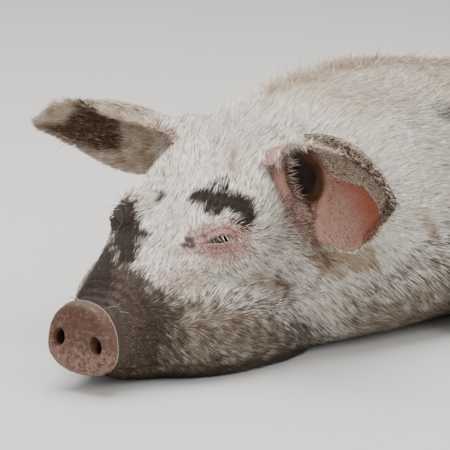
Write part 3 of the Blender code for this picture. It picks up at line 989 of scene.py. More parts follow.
# Each row holds a width in tenths of a millimetre, a strength, and then the points of a line in millimetres.
STREAKS: dict[Mark, tuple[tuple[float, ...], ...]] = {
    Mark.BLACK: (
        (110, 1.1, 14, 151, 111, 40, 155, 112, 62, 163, 109), (105, 1.15, 36, 149, 107, 50, 150, 104, 64, 158, 104),
        (85, 0.8, 46, 142, 98, 66, 151, 98), (60, 0.58, 20, 165, 121, 34, 169, 122),
        (160, 1, -56, 126, 87, -44, 110, 83, -24, 88, 74), (105, 1, -20, 86, 72, -4, 68, 65),
        (40, 0.9, -18, 98, 80, -5, 98, 80), (170, 0.92, -34, 66, 60, -16, 40, 50, -4, 14, 37),
        (180, 1, -46, 78, 60, -40, 50, 42, -30, 20, 30),
    ),
    Mark.TAN: (
        (110, 0.9, 72, 216, 166, 92, 198, 176), (130, 0.7, 106, 227, 70, 114, 232, 54),
        (140, 0.66, 116, 242, 58, 134, 268, 58), (100, 0.52, 10, 205, 155, 30, 186, 138),
        (180, 0.62, 0, 300, 196, 12, 345, 208, 24, 395, 216), (260, 0.66, 20, 385, 214, 34, 450, 216),
        (360, 0.58, 34, 470, 216, 70, 650, 210, 110, 860, 200), (160, 0.6, 90, 150, 48, 100, 180, 36),
        (240, 0.6, -118, 300, 110, -128, 340, 80), (85, 0.8, 161, 340, 88, 164, 346, 74),
    ),
    Mark.CAKED: (
        (58, 0.85, -29, 147, 107, -27, 142, 105), (52, 1, 38, 111, 83), (45, 0.72, 44, 116, 88, 49, 119, 89),
        # Painted shade: the rows of widths 90, 110 and 62 follow the folds below the ears and the valley down the cheek
        # to the neck.
        (34, 0.85, 34, 103, 76, 43, 110, 78), (90, 0.54, 99, 221, 90, 104, 225, 74, 109, 228, 64),
        (110, 0.54, 92, 180, 47, 98, 186, 32, 104, 184, 12, 107, 190, -10), (62, 0.6, -104, 222, 66, -112, 228, 30),
        (150, 0.62, 122, 415, 181, 132, 440, 160), (260, 0.7, -120, 480, 150, -125, 530, 120),
        (340, 0.65, 100, 760, 120, 90, 840, 80), (240, 0.5, 104, 175, -10, 114, 215, -14),
    ),
    Mark.BARE: (
        (50, 1.2, 41, 103, 71), (150, 1.1, 48, 119, 84, 75, 142, 85), (95, 0.62, 58, 124, 73, 74, 139, 72),
        (170, 0.58, 44, 75, 52, 58, 94, 48), (100, 0.5, 34, 92, 70, 46, 108, 74),
        (105, 1.7, 72, 205, 171, 63, 207, 160, 66, 212, 145, 74, 211, 128, 83, 212, 114),
        (95, 1.6, 95, 234, 112, 101, 235, 98, 106, 232, 87), (130, 0.9, 86, 211, 108, 98, 220, 84),
        (120, 0.6, -50, 120, 83, -73, 141, 85), (95, 1, -62, 209, 160, -82, 212, 118),
        (180, 0.62, -50, 85, 50, -64, 104, 44),
    ),
    Mark.FLUSH: ((80, 0.62, 65, 207, 160, 68, 212, 145, 76, 211, 126),),
    Mark.MUD: (
        # Mud and painted shade: these rows darken the lower chest and the shoulder.
        (340, 0.56, 140, 272, 10, 154, 302, 22, 170, 362, 46), (280, 0.8, 140, 270, -4, 156, 310, 0, 176, 380, 20),
        (400, 0.42, 172, 400, 70, 176, 470, 60),
    ),
    # Painted shade low in the left ear's hollow.
    Mark.HOLLOW: ((30, 0.9, 93, 231, 116, 96, 229, 104),),
}


def streak(head: Array, tenths: float, strength: float, *millimetres: float) -> Array:
    """How strongly each point carries a streak, which is at half its strength at its edge.

    Args:
        head: Head points.
        tenths: The streak's width in tenths of a millimetre.
        strength: Its strength in the middle.
        *millimetres: The corners of its line, or its one spot.

    Returns:
        The share for each point.
    """
    line = path(*millimetres)
    far = to_polyline(head, line)[0] if len(line) > 1 else np.linalg.norm(head - np.array(line[0]), axis=1)
    return strength * np.clip(1.5 - far / (tenths / 10000), 0.0, 1.0)


@dataclass(frozen=True)
class Markings:
    """Where each marking lies on the skin."""

    mud_line: Line = path(
        -50, 110, 45, 78, 56, 62, 62, 62.5, 68, 57.5, 74, 56.5, 93, 57, 120, 60.5, 153, 61, 175, 55, 207, 35.5,
        250, 18, 400, -5, width=2,
    )

    def lay(self, skin: Piece) -> dict[Mark, Array]:
        """Writes every marking on the skin as an attribute.

        Args:
            skin: The skin.

        Returns:
            The shares by marking, for whatever else follows the markings.
        """
        points = places(skin.data)
        head, facing = HEAD.inside(points), HEAD.turned_back(normals(skin.data))
        side, behind, above = head.T
        wide, left, right = np.abs(side), side > 0, side < 0
        ear = EARS.share(head)
        inner, off_ear = EARS.inner(facing, ear), 1 - ear
        shares = {mark: np.zeros(len(points)) for mark in Mark}

        def add(mark: Mark, *values: Array) -> None:
            """Raises a marking's share to the largest of these."""
            shares[mark] = np.maximum.reduce((shares[mark], *values))

        for mark, streaks in STREAKS.items():
            add(mark, *(streak(head, *row) for row in streaks))
        line = np.interp(behind, *zip(*self.mud_line))
        line = line + 0.050 * ramp(-side, -0.008, 0.012) * ramp(behind, 0.115, 0.095)
        soft = 0.016 + 0.036 * ramp(behind, 0.080, 0.150)
        jowl = soft_edge(line - above - 0.35 * wide, soft) * ramp(behind, 0.36, 0.26)
        # Mud and painted shade: the body darkens towards the floor, and a little where its skin turns away from above.
        belly = soft_edge(0.052 - points[:, 2], 0.050) * ramp(behind, 0.20, 0.32)
        add(Mark.MUD, jowl, belly, 0.20 * ramp(facing[:, 2], 0.75, 0.2) * ramp(behind, 0.42, 0.62))
        shares[Mark.MUD] *= off_ear
        muzzle = np.clip(1.55 - np.linalg.norm((head - (0.0, 0.042, 0.006)) / (0.068, 0.064, 0.064), axis=1), 0, 1)
        chin = soft_edge(-0.022 - above, 0.030) * ramp(behind, 0.30, 0.24)
        add(Mark.CAKED, np.maximum(muzzle, chin * 0.9) * shares[Mark.MUD])
        add(Mark.DISC, ramp(behind, 0.0060, 0.0035))
        # Painted shade in the cup of the right ear.
        add(Mark.DUSK, EARS.dusk(head, facing, ear))
        flush = 0.60 + 0.40 * ramp(0.7 * (wide + above), 0.145, 0.220)
        add(Mark.FLUSH, inner * np.where(left, flush, 0.30))
        buff = np.interp(behind, (0.0, 0.18, 0.27, 0.36, 0.46, 0.8), (0.0, 0.10, 0.16, 0.15, 0.52, 0.82))
        topline = 0.85 * ramp(above, 0.155, 0.200) * ramp(behind, 0.24, 0.32) * off_ear
        # Painted shade: the whole right ear takes the buff tint.
        add(Mark.BUFF, buff, topline, 0.9 * ear * right)
        # Painted light: less painted shade in the coat from the neck back, and in the right ear's cup.
        add(Mark.PLAIN, ramp(behind, 0.24, 0.33) * off_ear, 0.8 * inner * right)
        # Painted shade: the right ear turns tan, its cup most.
        add(Mark.TAN, np.maximum(0.50 * inner, 0.38 * ear) * right)
        # Painted shade in the hollows of the ear cups, weaker on the right ear.
        add(Mark.HOLLOW, EARS.hollow(head) * np.where(left, 1.0, 0.35))
        add(Mark.RIM, EARS.rim(head, facing, ear))
        add(Mark.SPECK, EARS.fringe(head, ear))
        # Painted shade in the creases of the lids, kept off the black patches.
        for eye in EYES:
            local = eye.local(head)
            add(Mark.CREASE, eye.crease(local) * (local[:, 2] > 0.004) * (1.0 - ramp(shares[Mark.BLACK], 0.2, 0.7)))
        for nostril in NOSTRILS:
            # Painted shade deep in each nostril.
            deep = ramp(nostril.reach(head), 1.05, 0.72) * ramp(behind, 0.022, 0.016)
            add(Mark.HOLLOW, deep * (wide < 0.034))
        for mark, values in shares.items():
            put(skin.data, mark.value, values)
        return shares


# --- finishes ---


@dataclass(frozen=True)
class Palette:
    """The colours of the skin, the coat, the eyes and the horn, as linear light."""

    cream: Colour = (0.88, 0.80, 0.68)
    straw: Colour = (0.70, 0.565, 0.385)
    pale: Colour = (0.99, 0.97, 0.925)
    # Painted shade between clumps of bristles.
    gap: Colour = (0.17, 0.110, 0.076)
    pink: Colour = (0.60, 0.35, 0.295)
    flesh: Colour = (0.455, 0.285, 0.245)
    rose: Colour = (0.26, 0.135, 0.112)
    # Painted shade in the creases round the eyes.
    crease: Colour = (0.20, 0.045, 0.036)
    salmon: Colour = (0.36, 0.105, 0.060)
    salmon_pale: Colour = (0.47, 0.27, 0.215)
    disc: Colour = (0.104, 0.051, 0.034)
    # Painted highlight on the lower part of the snout disc.
    disc_highlight: Colour = (0.22, 0.128, 0.099)
    rust: Colour = (0.105, 0.036, 0.018)
    mud: Colour = (0.135, 0.098, 0.070)
    mud_pale: Colour = (0.40, 0.32, 0.235)
    caked: Colour = (0.056, 0.041, 0.030)
    black: Colour = (0.026, 0.018, 0.013)
    tan: Colour = (0.40, 0.255, 0.145)
    # Brown and umber: painted shade in the ear hollows and the nostrils; umber also in the right ear's shaded cup.
    brown: Colour = (0.018, 0.007, 0.003)
    umber: Colour = (0.135, 0.055, 0.026)
    umber_pale: Colour = (0.36, 0.250, 0.170)
    # Painted shade in the cup of the right ear.
    dusk: Colour = (0.055, 0.033, 0.018)
    rim: Colour = (0.88, 0.72, 0.58)
    pink_warm: Colour = (0.50, 0.29, 0.235)
    pink_dull: Colour = (0.34, 0.20, 0.155)
    disc_edge: Colour = (0.42, 0.315, 0.235)
    disc_top: Colour = (0.085, 0.050, 0.036)
    dusk_pale: Colour = (0.36, 0.25, 0.165)
    iris: Colour = (0.030, 0.014, 0.007)
    iris_pale: Colour = (0.062, 0.030, 0.014)
    pupil: Colour = (0.004, 0.004, 0.004)
    eye_white: Colour = (0.16, 0.11, 0.095)
    horn: Colour = (0.145, 0.098, 0.066)
    horn_pale: Colour = (0.30, 0.215, 0.145)
    horn_dirt: Colour = (0.085, 0.058, 0.040)


PALETTE = Palette()


@dataclass
class MarkedFinish:
    """What the skin's and the coat's finishes share: the same markings with the same broken edges."""

    wiring: Wiring
    place: Term
    colour: Any = None

    def cover(self, share: Term | float, colour: Any) -> None:
        """Lays a colour over what is there, by its share."""
        self.colour = self.wiring.mix(share, self.colour, colour)

    def share(self, mark: Mark, soft: float = 0.16, rough: float = 1.0, pull: Term | float = 0.0) -> Term:
        """A marking's share with its edge broken by the lie of dirt and hair.

        Args:
            mark: Which marking.
            soft: How softly its edge ends.
            rough: How much its edge is broken.
            pull: What draws the marking on, or pushes it back.

        Returns:
            The share, from 0 to 1.
        """
        raw = self.wiring.attribute(mark.value)
        broken = raw + self.coarse * (0.9 * rough) + self.fine * (0.55 * rough) - 0.725 * rough + pull
        return broken.above(0.5 - soft, 0.5 + soft)

    def grain(self) -> None:
        """Makes the noises that every marking's edge uses."""
        self.coarse = self.wiring.noise(self.place, 95.0, 2.0)
        self.fine = self.wiring.noise(self.place, 420.0, 1.0)
        self.broad = self.wiring.noise(self.place, 17.0, 3.0)
        self.speck = self.wiring.noise(self.place, 700.0, 2.0, rough=0.7)

    def specked(self) -> Term:
        """Where dark clots of dirt sit on the edge of the left ear."""
        return self.wiring.attribute("speck").above(0.15, 0.75) * self.fine.above(0.47, 0.53)

    def paint_hollow_shade(self) -> None:
        """Paints shade into the hollows of the ear cups and into the nostrils."""
        w = self.wiring
        hollow = w.attribute("hollow") + (self.coarse - 0.5) * 0.30 * w.attribute("hollow").above(0.05, 0.30)
        self.cover(hollow.above(0.20, 0.62), PALETTE.umber)
        self.cover(hollow.above(0.45, 0.95), PALETTE.brown)


class SkinFinish(MarkedFinish):
    """The bare skin: pink under the coat, with mud, flush and pores, and painted shade in folds, creases and hollows
    and low on the body.
    """

    def build(self) -> Material:
        """Wires the skin's material."""
        w = self.wiring
        self.grain()
        pink = w.mix(self.coarse.above(0.35, 0.70), PALETTE.pink, PALETTE.pink_warm)
        self.colour = w.mix(self.fine.above(0.35, 0.7) * 0.4, pink, PALETTE.pink_dull)
        bare = w.mix(self.fine.above(0.40, 0.62), PALETTE.rose, PALETTE.flesh)
        bare = w.mix(self.speck.above(0.46, 0.56) * self.coarse.above(0.30, 0.55) * 0.80, bare, PALETTE.mud)
        self.cover(self.share(Mark.BARE, 0.3), bare)
        self.cover(self.share(Mark.TAN, 0.4), PALETTE.tan)
        raw = w.attribute("flush")
        flush = w.mix((raw + self.broad * 0.5 - 0.25).above(0.62, 0.98), PALETTE.salmon_pale, PALETTE.salmon)
        self.cover(raw.above(0.10, 0.55), flush)
        # Mud and caked mud, with the painted shade that these marks also carry low on the body and in the folds.
        mud = w.mix(self.coarse.above(0.40, 0.62), PALETTE.mud, PALETTE.caked)
        self.cover(self.share(Mark.MUD, 0.22), mud)
        self.cover(self.share(Mark.CAKED, 0.25), PALETTE.caked)
        self.cover(self.share(Mark.BLACK, 0.22, 1.5, 0.06), PALETTE.black)
        self.cover(w.attribute("rim").above(0.2, 0.8) * 0.7, PALETTE.tan)
        self.cover(self.specked() * 0.8, PALETTE.caked)
        # Painted shade in the cup of the right ear.
        self.cover(w.attribute("dusk"), w.mix(self.fine.above(0.4, 0.62), PALETTE.dusk, PALETTE.umber))
        # Painted shade in the creases round the eyes.
        self.cover(w.attribute("crease").above(0.25, 0.95) * 0.85, PALETTE.crease)
        disc = self.disc()
        self.cover(w.attribute("disc").above(0.02, 0.5), PALETTE.disc_edge)
        self.cover(w.attribute("disc").above(0.55, 0.95), disc)
        specks = self.speck.above(0.595, 0.64) * (w.attribute("flush") + w.attribute("bare")).above(0.1, 0.6)
        self.cover(specks * 0.8, PALETTE.caked)
        self.paint_hollow_shade()
        pores = w.noise(self.place, 900.0, 2.0)
        height = pores * 0.35 + self.fine * 0.35 + self.coarse * 0.30
        bump = w.bump(height, 0.55, 0.0012)
        rough = (0.62 + self.share(Mark.MUD) * 0.2) - w.attribute("disc") * 0.22
        return w.finish(Base_Color=self.colour, Roughness=rough, Normal=bump, IOR=1.4, Specular_IOR_Level=0.40)

    def disc(self) -> Term:
        """The colour of the snout disc: red-brown with a painted highlight low down, stained at its top, with dark
        pores and painted glints.
        """
        w = self.wiring
        axes = HEAD.matrix().inverted()
        sockets = {"Vector": self.place, "Location": tuple(axes.translation), "Rotation": tuple(axes.to_euler())}
        head = w.node("ShaderNodeMapping", None, sockets)
        side = w.node("ShaderNodeSeparateXYZ", None, {0: head})
        above = side.beside(2)
        # Painted highlight: the disc is paler low down.
        low = (above * -1.0 + self.broad * 0.02 - 0.01).above(-0.010, 0.024)
        colour = w.mix(low, PALETTE.disc, PALETTE.disc_highlight)
        stain = (above + self.coarse * 0.016 - 0.008 - (side - 0.004) ** 2.0 * 14.0).above(0.0135, 0.0185)
        colour = w.mix(stain * self.fine.above(0.34, 0.52), colour, PALETTE.rust)
        crescent = (above + self.coarse * 0.006 - 0.003 - side * side * -9.0).above(0.0265, 0.0285)
        colour = w.mix(crescent * 0.9, colour, PALETTE.disc_top)
        # Rust-coloured blots of dirt, and painted glints in pale flesh colour.
        blots_and_glints = w.noise(self.place, 270.0, 2.0, rough=0.65)
        colour = w.mix(blots_and_glints.above(0.47, 0.34) * 0.20, colour, PALETTE.flesh)
        colour = w.mix(blots_and_glints.above(0.53, 0.58) * 0.85, colour, PALETTE.rust)
        colour = w.mix(self.fine.above(0.56, 0.62) * self.coarse.above(0.34, 0.54) * 0.9, colour, PALETTE.caked)
        return w.mix(self.coarse.above(0.48, 0.7) * 0.35, colour, PALETTE.caked)


class CoatFinish(MarkedFinish):
    """The coat: pale bristles, each of one shade, with painted shade at the root and between clumps, that carry the
    skin's markings.
    """

    def build(self) -> Material:
        """Wires the coat's material."""
        w = self.wiring
        self.grain()
        shade, along = w.attribute("shade"), w.attribute("along")
        # Each bristle's lightness: its own random tone, with painted light and shade over whole clumps from the fine
        # noise.
        light = (self.fine.above(0.36, 0.60) * 0.55 + shade * 0.60).above(0.15, 1.0)
        self.colour = w.mix(self.broad.above(0.40, 0.64) * 0.50, PALETTE.cream, PALETTE.straw)
        self.cover(w.attribute("buff") * 0.55, PALETTE.straw)
        blotched = self.coarse.above(0.50, 0.66) * self.broad.above(0.42, 0.60)
        # Painted light and shade: the lightest bristles turn pale, the darkest take the painted shade between clumps,
        # less of it from the neck back.
        self.cover(light.above(0.38, 0.78) * (1.0 - w.attribute("buff") * 0.60), PALETTE.pale)
        self.cover(light.above(0.42, 0.05) * (0.85 - w.attribute("plain") * 0.60), PALETTE.gap)
        self.cover(blotched * 0.34, PALETTE.straw)
        self.cover(self.share(Mark.TAN, 0.35, 1.3) * 0.80, PALETTE.tan)
        self.cover(self.share(Mark.BARE, 0.3) * 0.70, w.mix(shade.above(0.10, 0.40), PALETTE.mud, PALETTE.pink))
        # Mud and caked mud, with the painted shade that these marks also carry low on the body and in the folds.
        mud = w.mix(light.above(0.25, 0.95), PALETTE.mud, PALETTE.mud_pale)
        dirt_and_shade = self.share(Mark.MUD, 0.20, 1.0, (0.52 - shade) * 0.40 + (0.5 - light) * 0.35)
        self.cover(dirt_and_shade * (0.75 + 0.25 * self.coarse.above(0.3, 0.6)), mud)
        caked = w.mix(light.above(0.45, 1.1), PALETTE.caked, PALETTE.mud)
        self.cover(self.share(Mark.CAKED, 0.3, 1.2, (0.5 - light) * 0.3), caked)
        black = w.mix(shade.above(0.72, 1.30), PALETTE.black, PALETTE.mud)
        self.cover(self.share(Mark.BLACK, 0.14, 1.0, (0.56 - shade) * 0.50 + (0.62 - light) * 0.30), black)
        rim = w.attribute("rim").above(0.2, 0.8) * 0.85
        self.cover(rim, w.mix(light.above(0.05, 0.62), PALETTE.umber_pale, PALETTE.rim))
        self.cover(self.specked(), PALETTE.black)
        # Painted shade in the cup of the right ear, with some paler hairs.
        self.cover(w.attribute("dusk"), w.mix(shade.above(0.55, 1.0), PALETTE.dusk, PALETTE.dusk_pale))
        inner = w.mix(light, PALETTE.salmon, PALETTE.salmon_pale)
        self.cover((w.attribute("flush") - w.attribute("rim")).above(0.32, 0.62) * 0.85, inner)
        self.paint_hollow_shade()
        # Painted shade deep in the coat: each bristle darkens towards its root, in skin pink and dirt, less so from the
        # neck back.
        root = w.mix(0.65, PALETTE.pink, PALETTE.caked)
        self.cover(along.above(0.42, -0.10) * (0.85 - w.attribute("plain") * 0.60), root)
        return w.finish(Base_Color=self.colour, Roughness=0.66, Specular_IOR_Level=0.22)


class EyeFinish:
    """The wet globe: a dark iris round a darker pupil, and a dull white beyond."""

    def build(self, eye: Eye) -> Material:
        """Wires one eye's material."""
        w = Wiring(f"wet_eye_{SIDE_NAMES[eye.side]}")
        centre = Vector(HEAD.outside(eye.centre()[None])[0])
        gaze = Vector(HEAD.turned(eye.axes()[2][None])[0])
        away = w.vectors("SUBTRACT", w.place(), tuple(centre))
        ahead = w.vectors("DOT_PRODUCT", away, tuple(gaze), out="Value")
        share = ahead * (1.0 / eye.radius)
        iris = w.mix(w.noise(away, 900.0, 2.0), PALETTE.iris, PALETTE.iris_pale)
        colour = w.mix(share.above(0.52, 0.60), PALETTE.eye_white, iris)
        colour = w.mix(share.above(0.93, 0.95), colour, PALETTE.pupil)
        return w.finish(Base_Color=colour, Roughness=0.06, IOR=1.38)


class HornFinish:
    """The horn of the feet: grey-brown, ringed along its growth, scuffed and dirty."""

    def build(self) -> Material:
        """Wires the horn's material."""
        w = Wiring("hoof_horn")
        place = w.place()
        rings = w.noise(w.vectors("MULTIPLY", place, (60.0, 420.0, 200.0)), 1.0)
        scuff = w.noise(place, 160.0, 4.0)
        colour = w.mix(rings.above(0.35, 0.65), PALETTE.horn, PALETTE.horn_pale)
        colour = w.mix(scuff.above(0.52, 0.72) * 0.7, colour, PALETTE.horn_dirt)
        bump = w.bump(rings * 0.6 + scuff * 0.4, 0.5, 0.0012)
        return w.finish(Base_Color=colour, Roughness=0.45 + scuff * 0.3, Normal=bump)


# --- coat ---


@dataclass(frozen=True)
class Bristle:
    """The shape of one bristle, a unit long: rings of three corners and a tip, bent towards the skin."""

    name: str
    stations: tuple[float, ...] = (-0.04,)
    droop: float = 0.0
    patch: float = 0.0015
    section: tuple[tuple[float, float], ...] = ((-0.5, -0.2), (0.5, -0.2), (0.0, 0.38))

    def build(self) -> Piece:
        """The bristle's mesh, with how far along it each point lies."""
        shape = bmesh.new()
        rings = []
        for at in self.stations:
            size, bend = 1.0 - 0.55 * max(at, 0.0) ** 1.5, -self.droop * max(at, 0.0) ** 2
            rings.append([shape.verts.new((x * size, y * size + bend, at)) for x, y in self.section])
        tip = shape.verts.new((0.0, -self.droop, 1.0))
        shape.faces.new(tuple(reversed(rings[0])))
        for low, high in zip(rings[:-1], rings[1:]):
            for i in range(3):
                shape.faces.new((low[i], low[(i + 1) % 3], high[(i + 1) % 3], high[i]))
        for i in range(3):
            shape.faces.new((rings[-1][i], rings[-1][(i + 1) % 3], tip))
        bmesh.ops.triangulate(shape, faces=shape.faces[:])
        mesh = closed(shape, self.name)
        points = places(mesh)
        put(mesh, "along", np.clip(points[:, 2], 0, 1))
        spots = np.stack([points[:, 0] * 2.0, points[:, 2] * 1.6 - 0.8, np.zeros(len(points))], axis=1)
        put(mesh, "patch", spots * self.patch)
        return new_piece(self.name, mesh)


class BristleTree(Graph):
    """Geometry nodes that set bristles on a skin, or on given roots, along the lie of the coat.

    The mesh they work on carries, at each point, the lie, how many stand on a square metre (thick), and how long and
    wide they are (long, wide).
    """

    INPUTS: tuple[tuple[str, str], ...] = (
        ("Bristle", "NodeSocketObject"), ("Finish", "NodeSocketMaterial"), ("Seed", "NodeSocketInt"),
        ("Lift", "NodeSocketFloat"), ("Stray", "NodeSocketFloat"), ("Thinness", "NodeSocketFloat"),
    )
    # What varies from root to root: the least, the most, and what is added to the seed.
    DRAWS: dict[str, tuple[float, float, int]] = {
        "shade": (0.0, 1.0, 11), "lift": (0.45, 1.6, 23), "long": (0.62, 1.22, 37), "wide": (0.70, 1.25, 41),
    }

    def __init__(self, name: str, spread: bool) -> None:
        """Builds the tree.

        Args:
            name: The tree's name.
            spread: Whether roots are spread over faces, or are the points of the mesh.
        """
        super().__init__(bpy.data.node_groups.new(name, "GeometryNodeTree"))
        face = self.tree.interface
        face.new_socket("Geometry", in_out="INPUT", socket_type="NodeSocketGeometry")
        for label, kind in self.INPUTS:
            face.new_socket(label, in_out="INPUT", socket_type=kind)
        face.new_socket("Geometry", in_out="OUTPUT", socket_type="NodeSocketGeometry")
        entry = self.node("NodeGroupInput")
        given = {label: entry.beside(label) for label in ("Geometry", *dict(self.INPUTS))}
        seed = given["Seed"]
        if spread:
            roots = self.node(
                "GeometryNodeDistributePointsOnFaces", {"distribute_method": "RANDOM"},
                {"Mesh": given["Geometry"], "Density": self.named("thick"), "Seed": seed}, "Points",
            )
            roots = self.store(roots, "facing", "FLOAT_VECTOR", roots.beside("Normal"))
            roots = self.store(roots, "root_map", "FLOAT_VECTOR", self.named(UV_NAME, "FLOAT_VECTOR"))
            roots = self.node("GeometryNodeRemoveAttribute", None, {"Geometry": roots, "Name": UV_NAME})
        else:
            roots = self.node("GeometryNodeMeshToPoints", {"mode": "VERTICES"}, {"Mesh": given["Geometry"]})
        roots = self.store(roots, "shade", "FLOAT", self.random(seed, "shade"))
        roots = self.store(roots, "root", "FLOAT_VECTOR", self.node("GeometryNodeInputPosition"))
        lie, facing = self.named("lie", "FLOAT_VECTOR"), self.named("facing", "FLOAT_VECTOR")
        stray = self.scaled(self.scatter(seed), given["Stray"])
        raised = self.scaled(facing, given["Lift"] * self.random(seed, "lift"))
        way = self.vectors("NORMALIZE", self.vectors("ADD", self.vectors("ADD", lie, raised), stray))
        axes = {"primary_axis": "Z", "secondary_axis": "Y"}
        turn = self.node("FunctionNodeAxesToRotation", axes, {0: way, 1: facing})
        long = self.named("long") * self.random(seed, "long")
        wide = self.named("wide") * self.random(seed, "wide")
        size = self.node("ShaderNodeCombineXYZ", None, {0: wide, 1: wide * given["Thinness"], 2: long})
        shape = self.node("GeometryNodeObjectInfo", None, {"Object": given["Bristle"]}, "Geometry")
        sockets = {"Points": roots, "Instance": shape, "Rotation": turn, "Scale": size}
        real = self.node("GeometryNodeInstanceOnPoints", None, sockets)
        real = self.node("GeometryNodeRealizeInstances", None, {"Geometry": real})
        spot = self.vectors("ADD", self.named("root_map", "FLOAT_VECTOR"), self.named("patch", "FLOAT_VECTOR"))
        real = self.store(real, UV_NAME, "FLOAT2", spot, "CORNER")
        done = self.node("GeometryNodeSetMaterial", None, {"Geometry": real, "Material": given["Finish"]})
        self.node("NodeGroupOutput", None, {"Geometry": done})

    def scaled(self, vector: Term, size: Term) -> Term:
        """A vector times a number."""
        return self.node("ShaderNodeVectorMath", {"operation": "SCALE"}, {0: vector, "Scale": size})

    def named(self, name: str, kind: str = "FLOAT") -> Term:
        """An attribute of the geometry."""
        return self.node("GeometryNodeInputNamedAttribute", {"data_type": kind}, {"Name": name}, "Attribute")

    def store(self, geometry: Term, name: str, kind: str, value: Term, domain: str = "POINT") -> Term:
        """The geometry with one attribute more."""
        sockets = {"Geometry": geometry, "Name": name, "Value": value}
        return self.node("GeometryNodeStoreNamedAttribute", {"data_type": kind, "domain": domain}, sockets, "Geometry")

    def random(self, seed: Term, what: str) -> Term:
        """A random number for each root, from the table of draws."""
        low, high, salt = self.DRAWS[what]
        sockets = {"Min_001": low, "Max_001": high, "Seed": seed + float(salt)}
        return self.node("FunctionNodeRandomValue", {"data_type": "FLOAT"}, sockets, "Value_001")

    def scatter(self, seed: Term) -> Term:
        """A random vector for each root."""
        sockets = {"Min": (-1.0, -1.0, -1.0), "Max": (1.0, 1.0, 1.0), "Seed": seed}
        return self.node("FunctionNodeRandomValue", {"data_type": "FLOAT_VECTOR"}, sockets, "Value")

    def grow(self, base: Piece, name: str, **values: Any) -> Piece:
        """Runs the tree on an object and keeps the result as a plain mesh.

        Args:
            base: The skin, or the roots.
            name: The new piece's name.
            **values: The tree's named inputs.

        Returns:
            The new piece.
        """
        modifier = base.modifiers.new("grow", "NODES")
        modifier.node_group = self.tree
        for item in self.tree.interface.items_tree:
            if item.in_out == "INPUT" and item.name in values:
                modifier[item.identifier] = values[item.name]
        mesh = frozen(base)
        base.modifiers.remove(modifier)
        keep = {UV_NAME, "shade", "along", "root", *(mark.value for mark in Mark)}
        names = [layer.name for layer in mesh.attributes if not (layer.is_internal or layer.is_required)]
        for extra in names:
            if extra not in keep and not extra.startswith("."):
                mesh.attributes.remove(mesh.attributes[extra])
        mesh.materials.clear()
        mesh.materials.append(values["Finish"])
        move_to(mesh, places(mesh), FLOOR_GAP)
        return new_piece(name, mesh)


def flattened(ways: Array, facing: Array) -> Array:
    """Directions laid flat on a surface."""
    return unit(ways - facing * np.sum(ways * facing, axis=1, keepdims=True))


